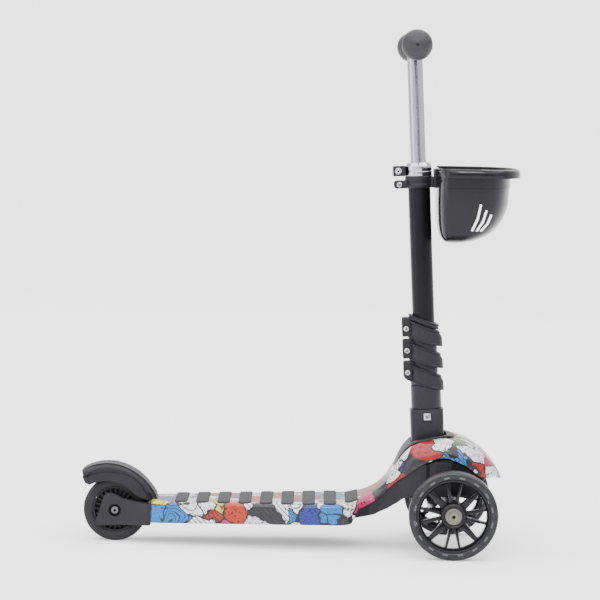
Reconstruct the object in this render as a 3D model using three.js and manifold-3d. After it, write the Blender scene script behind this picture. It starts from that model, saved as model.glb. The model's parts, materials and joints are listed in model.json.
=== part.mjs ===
// Three-wheel kick scooter for a small child: two leaning front wheels, one braked rear wheel,
// a printed deck and front cover, a height-adjustable T-bar and a front basket.
// Millimetres. X points forwards, Y to the rider's left, Z up, and the ground is at Z zero.
// The pieces are laid out with the rear axle at X zero; the finished group is then moved so that
// its origin is the middle of the space it stands on.
import * as THREE from 'three';
import { mergeVertices } from 'three/addons/utils/BufferGeometryUtils.js';
import Module from 'manifold-3d';

const wasm = await Module();
wasm.setup();

// Fits between pieces
const seatGap = 0.3;
const runningGap = 0.25;
const overrun = 5;

// Faceting of round pieces
const fineSides = 30;
const roundSides = 18;
const smallSides = 12;
const pinSides = 8;

// Wheels
const wheelbase = 460.6;
const track = 230;
const frontWheelDiameter = 120;
const rearWheelDiameter = 88;
const wheelWidth = 24;
const frontTyreDepth = 10;
const rearTyreDepth = 18;
const tyreShoulder = 4;
const bearingDiameter = 22;
const bearingWidth = 7;
const bearingInset = 0.5;
const spacerDiameter = 12;
const axleDiameter = 8;
const axleHeadDiameter = 13;
const axleHeadHeight = 3.4;
const hexSocketAcross = 5;
const hexSocketDepth = 2.2;
const hubDiameter = 35.6;
const rimWall = 5.4;
const rimLipDepth = 2.2;
const spokeDepth = 12;
const thickSpokeWidth = 5;
const thinSpokeWidth = 2.4;
const spokeFlare = THREE.MathUtils.degToRad(12);
const rearRibWidth = 2.2;
const rearRibCount = 8;
const rearWebDepth = 8;

// Deck and printed front cover
const deckRear = 51;
const riseStart = 318;
const noseReach = 528.7;
const deckWidth = 136;
const coverWidth = 142;
const deckTopRear = 59.5;
const deckTopFront = 65;
const deckBottomRear = 30;
const deckBottomFront = 36.7;
const coverTop = 154.5;
const deckCorner = 7;
const coverCorner = 30;
const deckCrown = 1;
const shellWall = 3;
const loftFloor = 18;

// Grip pads on the deck
const padCount = 9;
const padPitch = 29.05;
const padLength = 17.6;
const padFirst = 91.7;
const padProud = 1.9;
const padEdgeMargin = 2;
const padCorner = 5.5;

// Lower chassis under the deck and cover; its truck floor hangs below the lean pivot
const truckFloorRise = 18;
const pivotClearance = 22;
const truckFloor = frontWheelDiameter / 2 + truckFloorRise;
const pivotHeight = truckFloor + pivotClearance;
const tieRodDrop = 9;
const chassisWall = 3;
const truckFront = 488;
const truckBrow = 24;
const ribThickness = 2.4;
const ribCount = 5;
const ribDrop = 4;
const cradleThickness = 7;
const cradleHalfWidth = 17;
const cradleRise = 12;
const fingerSlotHalfLength = 14;
const fingerSlotHalfWidth = 6;

// Steering slot in the cover, with its black trim
const slotHalfWidth = 34;
const slotRear = 403;
const slotFront = 454;
const slotCorner = 14;
const slotLip = 1;
const trimRear = 381;
const trimFront = 465;
const trimHalfWidth = 43;
const trimCorner = 32;
const trimProud = 3;

// Lean pivot and steering linkage
const pivotPinDiameter = 8;
const pivotBarrelDiameter = 22;
const pivotBarrelLength = 40;
const pivotPinHead = 6;
const columnRake = THREE.MathUtils.degToRad(3.27);
const columnAtPivot = 430.6;
const tieRodHeight = truckFloor - tieRodDrop;
const tieRodThickness = 5;
const tieRodWidth = 12;
const fingerBallDiameter = 7;
const fingerNeckDiameter = 4.8;
const wingReach = 40;
const wingLength = 20;
const wingThickness = 5;
const wingRise = 8;
const springSpacing = 32;
const springDiameter = 15;
const springWire = 2;
const springTurns = 5;
const coilSteps = 8;
const wireSides = 5;

// Front beam, kingpins and knuckles
const kingpinSpacing = 168;
const kingpinDiameter = 6;
const kingpinHeadDiameter = 11;
const kingpinHeadHeight = 3;
const beamDepth = 18;
const beamBottom = 42;
const beamBlockWidth = 144;
const beamLugThickness = 6.2;
const beamLugReach = 9;
const knuckleDiameter = 16;
const steeringArmLength = 28;
const steeringArmWidth = 10;
const steeringArmThickness = 5.6;
const steeringPinDiameter = 5;
const stubShoulderGap = 0.6;

// Column
const columnTubeDiameter = 30.3;
const tubeWall = 1.5;
const socketLength = 45.7;
const socketWidth = 39;
const socketCorner = 12;
const socketFoot = 18;
const socketTop = 92;
const socketScrewRise = 82;
const socketScrewSquare = 10.5;
const socketScrewHeadHeight = 3;
const socketScrewDiameter = 5;
const lowerTubeDiameter = 41.4;
const lowerTubeTop = 124.5;
const columnTubeTop = 427.5;

// Spiral clamp sleeve
const sleeveTop = 213.2;
const sleeveCoreDiameter = 41;
const bandTilt = THREE.MathUtils.degToRad(22);
const bandHeight = 21.5;
const bandTopDiameter = 42.5;
const bandMiddleDiameter = 48.6;
const bandFootDiameter = 50;
const bandShoulderShare = 0.2;
const bandPitch = 30.2;
const bandLowest = 134.5;
const bandShift = 1.5;
const lugDepth = 15;
const lugWidth = 18;
const lugHeight = 25;
const lugLowest = 142.5;
const lugCorner = 4;
const clampSlit = 2;
const clampBoltDiameter = 4;
const clampBoltHeadDiameter = 7.6;
const clampBoltHeadHeight = 3;

// Height collar and basket clamp at the top of the column
const collarDiameter = 36;
const collarTop = 430;
const collarHeight = 18;
const collarLip = 2.4;
const collarChamfer = 1;
const collarLugDepth = 17;
const collarLugHeight = 14;
const collarLugWidth = 20;
const collarLugRise = 419.2;
const collarBoltHeadDiameter = 9.4;
const basketClampHeight = 16.4;
const basketClampDiameter = 38;
const basketClampLugHeight = 11;
const basketClampLugDepth = 15.5;
const bracketWidth = 36;
const bracketThickness = 4;
const bracketTopRise = 421;
const bracketArmWidth = 22;
const basketScrewDiameter = 5;
const basketScrewHeadDiameter = 11;
const basketScrewHeadHeight = 2.6;

// Basket
const basketRear = 432;
const basketFront = 531.4;
const basketFoot = 423;
const basketTop = 523.5;
const basketWidth = 160;
const basketWall = 2.6;
const basketRimFront = 14.3;
const basketRimSide = 9;
const basketRimHeight = 12.5;
const basketSlotWidth = 3.8;
const basketRingPoints = 24;

// T-bar and grips
const stemDiameter = 21;
const stemFoot = 230;
const stemBushHeight = 24;
const crossbarRise = 588.7;
const crossbarHalfLength = 118;
const gripOuter = 134;
const gripInner = 34;
const gripBallDiameter = 41.6;
const gripBodyDiameter = 31;
const gripFlangeDiameter = 38;
const gripFlangeWidth = 5;
const gripDimpleDiameter = 9;
const gripDimpleDepth = 2;

// Rear fork
const forkClearance = 3;
const forkArmThickness = 8;
const forkCapThickness = 3.8;
const forkCapClearance = 0.3;
const forkTongue = 24;
const forkTongueInset = 4;
const forkBossDiameter = 13;
const axleRecessDiameter = 17;
const axleRecessDepth = 3.6;
const rearAxleHeadDiameter = 10;
const rearNutAcross = 13;
const rearNutHeight = 4.5;

// Brake fender
const fenderCentreX = -7.8;
const fenderCentreZ = 41;
const fenderRadius = 70;
const fenderWall = 3;
const fenderHalfWidth = 24;
const fenderShoulder = 6;
const fenderSkirtDepth = 40;
const hingeX = 48;
const hingeZ = 66;
const hingePinDiameter = 4;
const hingePinHeadDiameter = 7;
const hingePinHeadHeight = 1.6;
const hingeEarInner = 10;
const hingeEarOuter = 16;
const hingeEarRadius = 4.4;
const treadHeight = 1.4;
const treadHalfWidth = 17;
const treadRidgeShare = 0.5;
const treadRidgeCount = 40;
const treadFrom = THREE.MathUtils.degToRad(24);
const treadTo = THREE.MathUtils.degToRad(122);
const shoeGap = 6;
const shoeHalfWidth = 10;
const shoeFrom = THREE.MathUtils.degToRad(70);
const shoeTo = THREE.MathUtils.degToRad(102);
const brakeSpringTurns = 5;
const brakeSpringWire = 1.4;

// Values that follow from the sizes above
const frontAxleZ = frontWheelDiameter / 2;
const rearAxleZ = rearWheelDiameter / 2;
const wheelHalf = wheelWidth / 2;
const sides = [{ word: 'left', sign: 1 }, { word: 'right', sign: -1 }];
const quarterTurn = Math.PI / 2;
const fullTurn = Math.PI * 2;
const ascending = (a, b) => a - b;

// Finishes
const finish = (color, roughness, metalness) =>
  new THREE.MeshStandardMaterial({ color, roughness, metalness });
const printedPlastic = finish(0xcfc3c6, 0.35, 0);
const blackPlastic = finish(0x1c1c20, 0.45, 0);
const glossBlackPlastic = finish(0x232226, 0.2, 0);
const blackPaint = finish(0x26262a, 0.4, 0.2);
const greyRubber = finish(0x6d6e70, 0.85, 0);
const blackRubber = finish(0x202024, 0.8, 0);
const smokeTyre = finish(0x2a2a2e, 0.35, 0);
const brightSteel = finish(0xc9c8cc, 0.28, 1);
const alloy = finish(0xb9b8c2, 0.35, 1);

// Solids: closing a three.js geometry for joining and cutting

function solid(shape) {
  if (!shape.isBufferGeometry) return shape;
  const bare = shape.clone();
  bare.deleteAttribute('normal');
  bare.deleteAttribute('uv');
  const welded = mergeVertices(bare);
  const place = welded.attributes.position;
  const corners = welded.index.array;
  const kept = [];
  const a = new THREE.Vector3();
  const b = new THREE.Vector3();
  const c = new THREE.Vector3();
  let volume = 0;
  for (let i = 0; i < corners.length; i += 3) {
    const [p, q, r] = [corners[i], corners[i + 1], corners[i + 2]];
    if (p === q || q === r || r === p) continue;
    kept.push(p, q, r);
    a.fromBufferAttribute(place, p);
    b.fromBufferAttribute(place, q);
    c.fromBufferAttribute(place, r);
    volume += a.dot(b.cross(c));
  }
  if (volume < 0) kept.reverse();
  return new wasm.Manifold(new wasm.Mesh({
    numProp: 3,
    vertProperties: place.array,
    triVerts: new Uint32Array(kept),
  }));
}

function join(first, ...rest) {
  return rest.reduce((body, piece) => body.add(solid(piece)), solid(first));
}

function cut(first, ...rest) {
  return rest.reduce((body, piece) => body.subtract(solid(piece)), solid(first));
}

function common(first, ...rest) {
  return rest.reduce((body, piece) => body.intersect(solid(piece)), solid(first));
}

function geometryOf(shape) {
  const mesh = solid(shape).getMesh();
  const geometry = new THREE.BufferGeometry();
  geometry.setAttribute('position', new THREE.BufferAttribute(new Float32Array(mesh.vertProperties), 3));
  geometry.setIndex(new THREE.BufferAttribute(new Uint32Array(mesh.triVerts), 1));
  geometry.computeVertexNormals();
  return geometry;
}

// Basic forms

function box([xMin, xMax], [yMin, yMax], [zMin, zMax]) {
  const block = new THREE.BoxGeometry(xMax - xMin, yMax - yMin, zMax - zMin);
  return block.translate((xMin + xMax) / 2, (yMin + yMax) / 2, (zMin + zMax) / 2);
}

function lay(geometry, axis) {
  if (axis === 'x') return geometry.rotateZ(-quarterTurn);
  if (axis === 'z') return geometry.rotateX(quarterTurn);
  return geometry;
}

function rod(axis, diameter, [from, to], [across, up], faces = smallSides) {
  const bar = lay(new THREE.CylinderGeometry(diameter / 2, diameter / 2, to - from, faces), axis);
  const along = (from + to) / 2;
  if (axis === 'x') return bar.translate(along, across, up);
  if (axis === 'y') return bar.translate(across, along, up);
  return bar.translate(across, up, along);
}

function turned(profile, faces = roundSides) {
  return new THREE.LatheGeometry(profile.map(([r, h]) => new THREE.Vector2(r, h)), faces);
}

function ring(outer, inner, [from, to], faces = roundSides) {
  return turned([[inner, from], [outer, from], [outer, to], [inner, to], [inner, from]], faces);
}

function outline(points) {
  return new THREE.Shape(points.map(([x, y]) => new THREE.Vector2(x, y)));
}

function sideSlab(points, [yMin, yMax]) {
  const slab = new THREE.ExtrudeGeometry(outline(points), { depth: yMax - yMin, bevelEnabled: false });
  return slab.rotateX(quarterTurn).translate(0, yMax, 0);
}

function planSlab(shape, [zMin, zMax]) {
  const slab = new THREE.ExtrudeGeometry(shape, { depth: zMax - zMin, bevelEnabled: false, curveSegments: 3 });
  return slab.translate(0, 0, zMin);
}

function roundedRectangle([xMin, xMax], [yMin, yMax], corner) {
  const shape = new THREE.Shape();
  shape.moveTo(xMin + corner, yMin);
  shape.lineTo(xMax - corner, yMin);
  shape.absarc(xMax - corner, yMin + corner, corner, -quarterTurn, 0);
  shape.lineTo(xMax, yMax - corner);
  shape.absarc(xMax - corner, yMax - corner, corner, 0, quarterTurn);
  shape.lineTo(xMin + corner, yMax);
  shape.absarc(xMin + corner, yMax - corner, corner, quarterTurn, Math.PI);
  shape.lineTo(xMin, yMin + corner);
  shape.absarc(xMin + corner, yMin + corner, corner, Math.PI, Math.PI + quarterTurn);
  return shape;
}

function arcPoints([x, z], radius, from, to, steps) {
  return Array.from({ length: steps + 1 }, (_, k) => {
    const angle = from + ((to - from) * k) / steps;
    return [x + radius * Math.cos(angle), z + radius * Math.sin(angle)];
  });
}

function loft(rings) {
  const count = rings[0].length;
  const positions = rings.flat(2);
  const index = [];
  for (let r = 0; r + 1 < rings.length; r += 1) {
    for (let k = 0; k < count; k += 1) {
      const here = r * count + k;
      const beside = r * count + ((k + 1) % count);
      index.push(here, beside, beside + count, here, beside + count, here + count);
    }
  }
  const ends = [[rings[0], 0, false], [rings.at(-1), (rings.length - 1) * count, true]];
  for (const [end, offset, last] of ends) {
    const centre = positions.length / 3;
    for (let axis = 0; axis < 3; axis += 1) {
      positions.push(end.reduce((sum, point) => sum + point[axis], 0) / count);
    }
    for (let k = 0; k < count; k += 1) {
      const edge = [offset + k, offset + ((k + 1) % count)];
      if (!last) edge.reverse();
      index.push(...edge, centre);
    }
  }
  const geometry = new THREE.BufferGeometry();
  geometry.setAttribute('position', new THREE.Float32BufferAttribute(positions, 3));
  geometry.setIndex(index);
  return geometry;
}

function coil(radius, wire, rise, turns) {
  class Helix extends THREE.Curve {
    getPoint(share) {
      const angle = share * turns * fullTurn;
      return new THREE.Vector3(radius * Math.cos(angle), radius * Math.sin(angle), share * rise);
    }
  }
  const section = new THREE.Shape(new THREE.EllipseCurve(0, 0, wire / 2, wire / 2).getPoints(wireSides).slice(1));
  return new THREE.ExtrudeGeometry(section, {
    extrudePath: new Helix(),
    steps: turns * coilSteps,
    curveSegments: wireSides,
  });
}

function part(name, shape, material, parent) {
  const mesh = new THREE.Mesh(geometryOf(shape), material);
  mesh.name = name;
  parent.add(mesh);
  return mesh;
}

const scooter = new THREE.Group();

// Shape of the printed shell: stations along the deck and up over the front cover
// Each row: share of the way along, share of the widest half width, share of the rise in height
const deckStationShares = [
  [0, 0.559, 0],
  [0.071, 0.632, 0.07],
  [0.206, 0.72, 0.2],
  [0.408, 0.81, 0.4],
  [0.633, 0.912, 0.63],
  [0.865, 1, 0.86],
  [1, 0.94, 1],
];
const coverStationShares = [
  [0.057, 0.79, 0.039],
  [0.128, 0.662, 0.11],
  [0.2, 0.62, 0.207],
  [0.256, 0.634, 0.335],
  [0.299, 0.676, 0.503],
  [0.342, 0.732, 0.687],
  [0.38, 0.803, 0.81],
  [0.427, 0.873, 0.905],
  [0.508, 0.958, 0.955],
  [0.626, 1, 1],
  [0.712, 1, 0.972],
  [0.802, 0.944, 0.9],
  [0.892, 0.803, 0.749],
  [0.954, 0.592, 0.592],
  [0.987, 0.38, 0.469],
  [1, 0.254, 0.409],
];
const deckLength = riseStart - deckRear;
const coverLength = noseReach - riseStart;
const coverRise = coverTop - deckTopFront;
const stationSteps = 24;
const cornerSteps = 3;

const shellStations = new THREE.CatmullRomCurve3([
  ...deckStationShares.map(([along, wide, high]) => new THREE.Vector3(
    deckRear + along * deckLength,
    (wide * deckWidth) / 2,
    deckTopRear + high * (deckTopFront - deckTopRear),
  )),
  ...coverStationShares.map(([along, wide, high]) => new THREE.Vector3(
    riseStart + along * coverLength,
    (wide * coverWidth) / 2,
    deckTopFront + high * coverRise,
  )),
], false, 'centripetal').getPoints(stationSteps);

function shellRing(x, half, top, risen, inset) {
  const corner = Math.min(deckCorner + risen * (coverCorner - deckCorner), half * 0.8);
  const bend = Math.max(corner - inset, shellWall / 2);
  const left = [-(half - bend), top - bend];
  const arc = arcPoints(left, bend, Math.PI, quarterTurn, cornerSteps);
  const right = arc.map(([y, z]) => [-y, z]).reverse();
  const ridge = [0, top + deckCrown];
  return [[-half, loftFloor], ...arc, ridge, ...right, [half, loftFloor]].map(([y, z]) => [x, y, z]);
}

// The shell's outer form drawn in by inset, or swollen by a negative one
function shellForm(inset, lift = 0) {
  const span = noseReach - deckRear;
  return loft(shellStations.map((station) => {
    const along = (station.x - deckRear) / span;
    const x = deckRear + inset + along * (span - 2 * inset);
    const risen = THREE.MathUtils.clamp((station.z - deckTopFront) / coverRise, 0, 1);
    return shellRing(x, station.y - inset, station.z - inset + lift, risen, inset);
  }));
}

// Lower edge of the printed shell, as shares of the cover's length and height
const shellEdgeShares = [
  [0.038, 0.011],
  [0.052, 0.076],
  [0.071, 0.17],
  [0.1025, 0.236],
  [0.137, 0.2835],
  [0.2506, 0.416],
  [0.323, 0.5246],
  [0.4105, 0.62],
  [0.455, 0.688],
  [0.497, 0.7436],
  [0.555, 0.795],
  [0.614, 0.813],
  [0.674, 0.796],
  [0.731, 0.75],
  [0.7855, 0.6884],
  [0.826, 0.6265],
  [0.8685, 0.5756],
  [0.9634, 0.568],
  [1.03, 0.512],
];
const coverPoint = ([along, high]) => [
  riseStart + along * coverLength,
  deckBottomFront + high * (coverTop - deckBottomFront),
];

// Lower edge of the black chassis where it climbs to the front truck
const chassisEdgeShares = [
  [0, 0.02],
  [0.056, 0.07],
  [0.128, 0.083],
  [0.18, 0.102],
  [0.269, 0.185],
  [0.3275, 0.253],
  [0.37, 0.3217],
  [0.408, 0.35],
];

const wide = [-coverWidth, coverWidth];

function slotPrism(lip) {
  const half = slotHalfWidth - lip;
  const plan = roundedRectangle([slotRear + lip, slotFront - lip], [-half, half], slotCorner);
  return planSlab(plan, [truckFloor, coverTop + 2 * overrun]);
}

function deckShell() {
  const under = [
    [deckRear - overrun, loftFloor - overrun],
    [deckRear - overrun, deckBottomRear],
    [deckRear, deckBottomRear],
    ...shellEdgeShares.map(coverPoint),
    [noseReach + overrun, loftFloor - overrun],
  ];
  const hollow = join(
    shellForm(shellWall),
    box([deckRear - overrun, deckRear + 2 * shellWall], ...rearMouth(0)),
  );
  return cut(shellForm(0), hollow, sideSlab(under, wide), slotPrism(0));
}

// Opening at the back of the deck, which the fork's tongue closes
function rearMouth(inset) {
  const half = (deckStationShares[0][1] * deckWidth) / 2 - shellWall - inset;
  const top = deckTopRear - shellWall - deckCorner / 2 - inset;
  return [[-half, half], [loftFloor, top]];
}

function slotTrim() {
  const plan = roundedRectangle([trimRear, trimFront], [-trimHalfWidth, trimHalfWidth], trimCorner);
  const patch = planSlab(plan, [truckFloor, coverTop + overrun]);
  return cut(common(shellForm(-trimProud), patch), shellForm(-seatGap), slotPrism(slotLip));
}

function deckPad(index) {
  const x = padFirst + index * padPitch;
  const half = padHalfWidth(x);
  const plan = roundedRectangle([x - padLength / 2, x + padLength / 2], [-half, half], padCorner);
  const block = planSlab(plan, [deckBottomFront, coverTop]);
  return cut(common(shellForm(-padProud), block), shellForm(-seatGap));
}

function shellHalfWidth(x) {
  const k = shellStations.findIndex((station) => station.x >= x);
  const [before, after] = [shellStations[k - 1], shellStations[k]];
  return THREE.MathUtils.mapLinear(x, before.x, after.x, before.y, after.y);
}

function padHalfWidth(x) {
  const ends = [x - padLength / 2, x + padLength / 2];
  return Math.min(...ends.map(shellHalfWidth)) - padEdgeMargin;
}

function chassisOutline(inset) {
  const rear = deckRear + forkTongue + 1 + inset;
  return [
    [rear, deckBottomRear + 2 + inset],
    ...chassisEdgeShares.map(coverPoint).map(([x, z]) => [x, z + inset]),
    [truckFront - truckBrow * 3, truckFloor + inset],
    [truckFront - inset, truckFloor + inset],
    [truckFront - inset, truckFloor + truckBrow],
    [truckFront + truckBrow - inset, truckFloor + 2 * truckBrow],
    [truckFront + truckBrow - inset, coverTop + 4 * overrun],
    [rear, coverTop + 4 * overrun],
  ];
}

function lowerChassis() {
  const skin = shellWall + seatGap;
  const body = common(shellForm(skin), sideSlab(chassisOutline(0), wide));
  const hollow = common(
    shellForm(skin + chassisWall, 4 * overrun),
    sideSlab(chassisOutline(chassisWall), wide),
  );
  let tray = cut(body, hollow);
  for (let k = 0; k < ribCount; k += 1) {
    const x = deckRear + forkTongue + ((k + 1) * (deckLength - forkTongue)) / (ribCount + 1);
    const wall = box([x, x + ribThickness], wide, [deckBottomRear, coverTop]);
    tray = join(tray, common(shellForm(skin + ribDrop), sideSlab(chassisOutline(1), wide), wall));
  }
  const spine = box([deckRear + forkTongue + 2, riseStart], [-ribThickness / 2, ribThickness / 2], [deckBottomRear, coverTop]);
  tray = join(tray, common(shellForm(skin + ribDrop), sideSlab(chassisOutline(1), wide), spine));
  for (const end of [-1, 1]) {
    const near = columnAtPivot + end * (pivotBarrelLength / 2 + 1.4);
    const far = near + end * cradleThickness;
    const wall = [Math.min(near, far), Math.max(near, far)];
    tray = join(tray, box(wall, [-cradleHalfWidth, cradleHalfWidth], [truckFloor + 1, pivotHeight + cradleRise]));
  }
  const bore = rod(
    'x',
    pivotPinDiameter + 2 * runningGap,
    [columnAtPivot - pivotBarrelLength, columnAtPivot + pivotBarrelLength],
    [0, pivotHeight],
  );
  const slot = box(
    [columnAtPivot - fingerSlotHalfWidth, columnAtPivot + fingerSlotHalfWidth],
    [-fingerSlotHalfLength, fingerSlotHalfLength],
    [truckFloor - overrun, truckFloor + overrun],
  );
  return cut(tray, bore, slot);
}

part('deck_shell', deckShell(), printedPlastic, scooter);
part('lower_chassis', lowerChassis(), blackPlastic, scooter);
part('slot_trim', slotTrim(), blackPlastic, scooter);
for (let k = 0; k < padCount; k += 1) {
  part(`deck_pad_${k + 1}`, deckPad(k), greyRubber, scooter);
}

// Rear fork: two flared arms, a cap that closes the deck and a tongue inside it

const forkInner = wheelHalf + forkClearance;

// Side view of one arm, as shares of the rear wheel's radius from its axle
const forkArmShares = [
  [1.15, -0.36],
  [1.15, 0.27],
  [0.98, 0.255],
  [0.64, 0.3],
  [0.43, 0.33],
  [0.23, 0.38],
  [0.06, 0.48],
  [-0.1, 0.535],
  [-0.27, 0.53],
  [-0.36, 0.42],
  [-0.45, 0.1],
  [-0.55, -0.2],
  [-0.6, -0.36],
  [-0.52, -0.43],
];

function rearFork() {
  const radius = rearWheelDiameter / 2;
  const armSide = forkArmShares.map(([x, z]) => [x * radius, rearAxleZ + z * radius]);
  const capFront = deckRear - forkCapClearance;
  const capRear = capFront - forkCapThickness;
  const endHalf = (deckStationShares[0][1] * deckWidth) / 2;
  const armOuter = forkInner + forkArmThickness;
  const plan = [
    [-radius, -armOuter],
    [radius / 3, -armOuter],
    [capRear, -(endHalf - 1)],
    [capRear, endHalf - 1],
    [radius / 3, armOuter],
    [-radius, armOuter],
  ];
  const planPrism = planSlab(outline(plan), [0, rearWheelDiameter]);
  const well = box([-radius - overrun, capRear], [-forkInner, forkInner], [-overrun, rearWheelDiameter]);
  const arms = cut(common(sideSlab(armSide, [-endHalf, endHalf]), planPrism), well);
  const capCorner = deckCorner / 2;
  const cap = planSlab(
    roundedRectangle([deckBottomRear, deckTopRear - 1], [-endHalf, endHalf], capCorner),
    [0, forkCapThickness],
  ).rotateY(-quarterTurn).translate(capFront, 0, 0);
  const [mouthY, mouthZ] = rearMouth(seatGap + 1);
  const tongue = box(
    [capFront - 1, deckRear + forkTongue],
    [mouthY[0] + forkTongueInset, mouthY[1] - forkTongueInset],
    [deckBottomRear + forkTongueInset, mouthZ[1]],
  );
  const ears = sides.map(({ sign }) => {
    const span = [sign * hingeEarInner, sign * hingeEarOuter].sort(ascending);
    const stem = [
      [capRear - 1, deckTopRear - 2 * forkCapThickness],
      [capFront - seatGap, deckTopRear - 2 * forkCapThickness],
      [capFront - seatGap, hingeZ],
      [hingeX - hingeEarRadius, hingeZ],
    ];
    return join(sideSlab(stem, span), rod('y', 2 * hingeEarRadius, span, [hingeX, hingeZ]));
  });
  const recess = sides.map(({ sign }) => {
    const span = [sign * (armOuter - axleRecessDepth), sign * (armOuter + overrun)].sort(ascending);
    return rod('y', axleRecessDiameter, span, [0, rearAxleZ], roundSides);
  });
  const bosses = sides.map(({ sign }) => {
    const face = wheelHalf - bearingInset + seatGap;
    return rod('y', forkBossDiameter, [sign * face, sign * (forkInner + 1)].sort(ascending), [0, rearAxleZ]);
  });
  const axleHole = rod('y', axleDiameter + 2 * runningGap, [-armOuter - 1, armOuter + 1], [0, rearAxleZ]);
  const pinHole = rod('y', hingePinDiameter + 2 * runningGap, [-fenderHalfWidth, fenderHalfWidth], [hingeX, hingeZ]);
  return cut(join(arms, cap, tongue, ...ears, ...bosses), ...recess, axleHole, pinHole);
}

part('rear_fork', rearFork(), blackPlastic, scooter);

function hexSocket(along) {
  const across = hexSocketAcross / Math.cos(Math.PI / 6);
  return rod('y', across, along, [0, 0], 6);
}

const forkOuter = forkInner + forkArmThickness;
const recessFace = forkOuter - axleRecessDepth;

function rearAxle() {
  const shank = rod('y', axleDiameter, [-recessFace, recessFace + rearNutHeight], [0, 0]);
  const headFace = -(recessFace + seatGap);
  const headTop = headFace - axleHeadHeight;
  const head = turned([
    [0, headTop],
    [rearAxleHeadDiameter / 2 - 0.6, headTop],
    [rearAxleHeadDiameter / 2, headTop + 0.6],
    [rearAxleHeadDiameter / 2, headFace],
    [0, headFace],
  ]);
  const neck = rod('y', axleDiameter, [headFace - 1, -recessFace + 1], [0, 0]);
  const bolt = cut(join(shank, neck, head), hexSocket([headTop - 1, headTop + hexSocketDepth]));
  return bolt;
}

const rearWheel = new THREE.Group();
rearWheel.position.set(0, 0, rearAxleZ);
scooter.add(rearWheel);

part('rear_axle_bolt', rearAxle(), brightSteel, rearWheel);
part('rear_axle_nut', cut(
  rod('y', rearNutAcross / Math.cos(Math.PI / 6), [recessFace + seatGap, recessFace + rearNutHeight], [0, 0], 6),
  rod('y', axleDiameter + 2 * seatGap, [recessFace - 1, recessFace + 2 * rearNutHeight], [0, 0]),
), brightSteel, rearWheel);

// Wheels: tyres, cores and bearings, made about an axle along Y at the origin

function tyre(diameter, depth) {
  const outer = diameter / 2;
  const inner = outer - depth + seatGap;
  const shoulder = outer - tyreShoulder;
  const crown = arcPoints([shoulder, wheelHalf - tyreShoulder], tyreShoulder, 0, quarterTurn, 2);
  const mirrored = crown.map(([r, y]) => [r, -y]).reverse();
  return turned([[inner, -wheelHalf], ...mirrored, ...crown, [inner, wheelHalf], [inner, -wheelHalf]], fineSides);
}

const bearingSeat = bearingDiameter / 2 + seatGap;
const spacerSeat = spacerDiameter / 2 + seatGap;
const bearingBore = axleDiameter / 2 + runningGap;

function hubBore() {
  const inside = wheelHalf - bearingInset - bearingWidth - seatGap;
  return turned([
    [0, -wheelHalf - 1],
    [bearingSeat, -wheelHalf - 1],
    [bearingSeat, -inside],
    [spacerSeat, -inside],
    [spacerSeat, inside],
    [bearingSeat, inside],
    [bearingSeat, wheelHalf + 1],
    [0, wheelHalf + 1],
  ], smallSides);
}

function bearingPair() {
  const outside = wheelHalf - bearingInset;
  const inside = outside - bearingWidth;
  const race = bearingDiameter / 2;
  const spacer = spacerDiameter / 2;
  return turned([
    [bearingBore, -outside],
    [race, -outside],
    [race, -inside],
    [spacer, -inside],
    [spacer, inside],
    [race, inside],
    [race, outside],
    [bearingBore, outside],
    [bearingBore, -outside],
  ], smallSides);
}

function spoke(angle, width, reach) {
  const inner = hubDiameter / 2 - 2;
  return box([inner, reach], [-spokeDepth / 2, spokeDepth / 2], [-width / 2, width / 2]).rotateY(angle);
}

function frontCore() {
  const outer = frontWheelDiameter / 2 - frontTyreDepth;
  const inner = outer - rimWall;
  const edge = wheelHalf - 0.5;
  const barrel = turned([
    [inner + rimLipDepth, -edge],
    [outer, -edge],
    [outer, edge],
    [inner + rimLipDepth, edge],
    [inner, edge - 2 * rimLipDepth],
    [inner, 2 * rimLipDepth - edge],
    [inner + rimLipDepth, -edge],
  ], fineSides);
  const hub = rod('y', hubDiameter, [-wheelHalf, wheelHalf], [0, 0], roundSides);
  const spokes = [];
  for (let quarter = 0; quarter < 4; quarter += 1) {
    const axis = quarter * quarterTurn;
    spokes.push(spoke(axis - spokeFlare, thinSpokeWidth, inner + 1));
    spokes.push(spoke(axis + spokeFlare, thinSpokeWidth, inner + 1));
    spokes.push(spoke(axis + quarterTurn / 2, thickSpokeWidth, inner + 1));
  }
  return cut(join(barrel, hub, ...spokes), hubBore());
}

function rearCore() {
  const outer = rearWheelDiameter / 2 - rearTyreDepth;
  const edge = wheelHalf - 1;
  const rim = ring(outer, outer - 2 * rimLipDepth, [-edge, edge], fineSides);
  const hub = rod('y', hubDiameter - 2 * rimWall, [-wheelHalf, wheelHalf], [0, 0], roundSides);
  const web = rod('y', 2 * outer - rimLipDepth, [-rearWebDepth / 4, rearWebDepth / 4], [0, 0], roundSides);
  const ribs = Array.from({ length: rearRibCount }, (_, k) => box(
    [bearingSeat + 1, outer - rimLipDepth],
    [-edge + 1, edge - 1],
    [-rearRibWidth / 2, rearRibWidth / 2],
  ).rotateY((k * fullTurn) / rearRibCount));
  return cut(join(rim, hub, web, ...ribs), hubBore());
}

part('rear_wheel_core', rearCore(), blackPlastic, rearWheel);
part('rear_tyre', tyre(rearWheelDiameter, rearTyreDepth), blackRubber, rearWheel);
part('rear_bearings', bearingPair(), brightSteel, rearWheel);

// Brake fender: a channel bent round the wheel, hinged on the fork's ears

function fenderRing(outer, half, skirtDepth, wall) {
  const bend = fenderShoulder - (fenderRadius - outer) * 0.4;
  const section = [
    [outer - skirtDepth, -half],
    [outer - bend, -half],
    [outer - bend * 0.3, -(half - bend * 0.3)],
    [outer, -(half - bend)],
    [outer, half - bend],
    [outer - bend * 0.3, half - bend * 0.3],
    [outer - bend, half],
    [outer - skirtDepth, half],
  ];
  const inner = section.map(([r, y]) => [
    r > outer - skirtDepth ? r - wall : r,
    y - Math.sign(y) * wall,
  ]).reverse();
  return turned([...section, ...inner, section[0]], fineSides);
}

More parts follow.
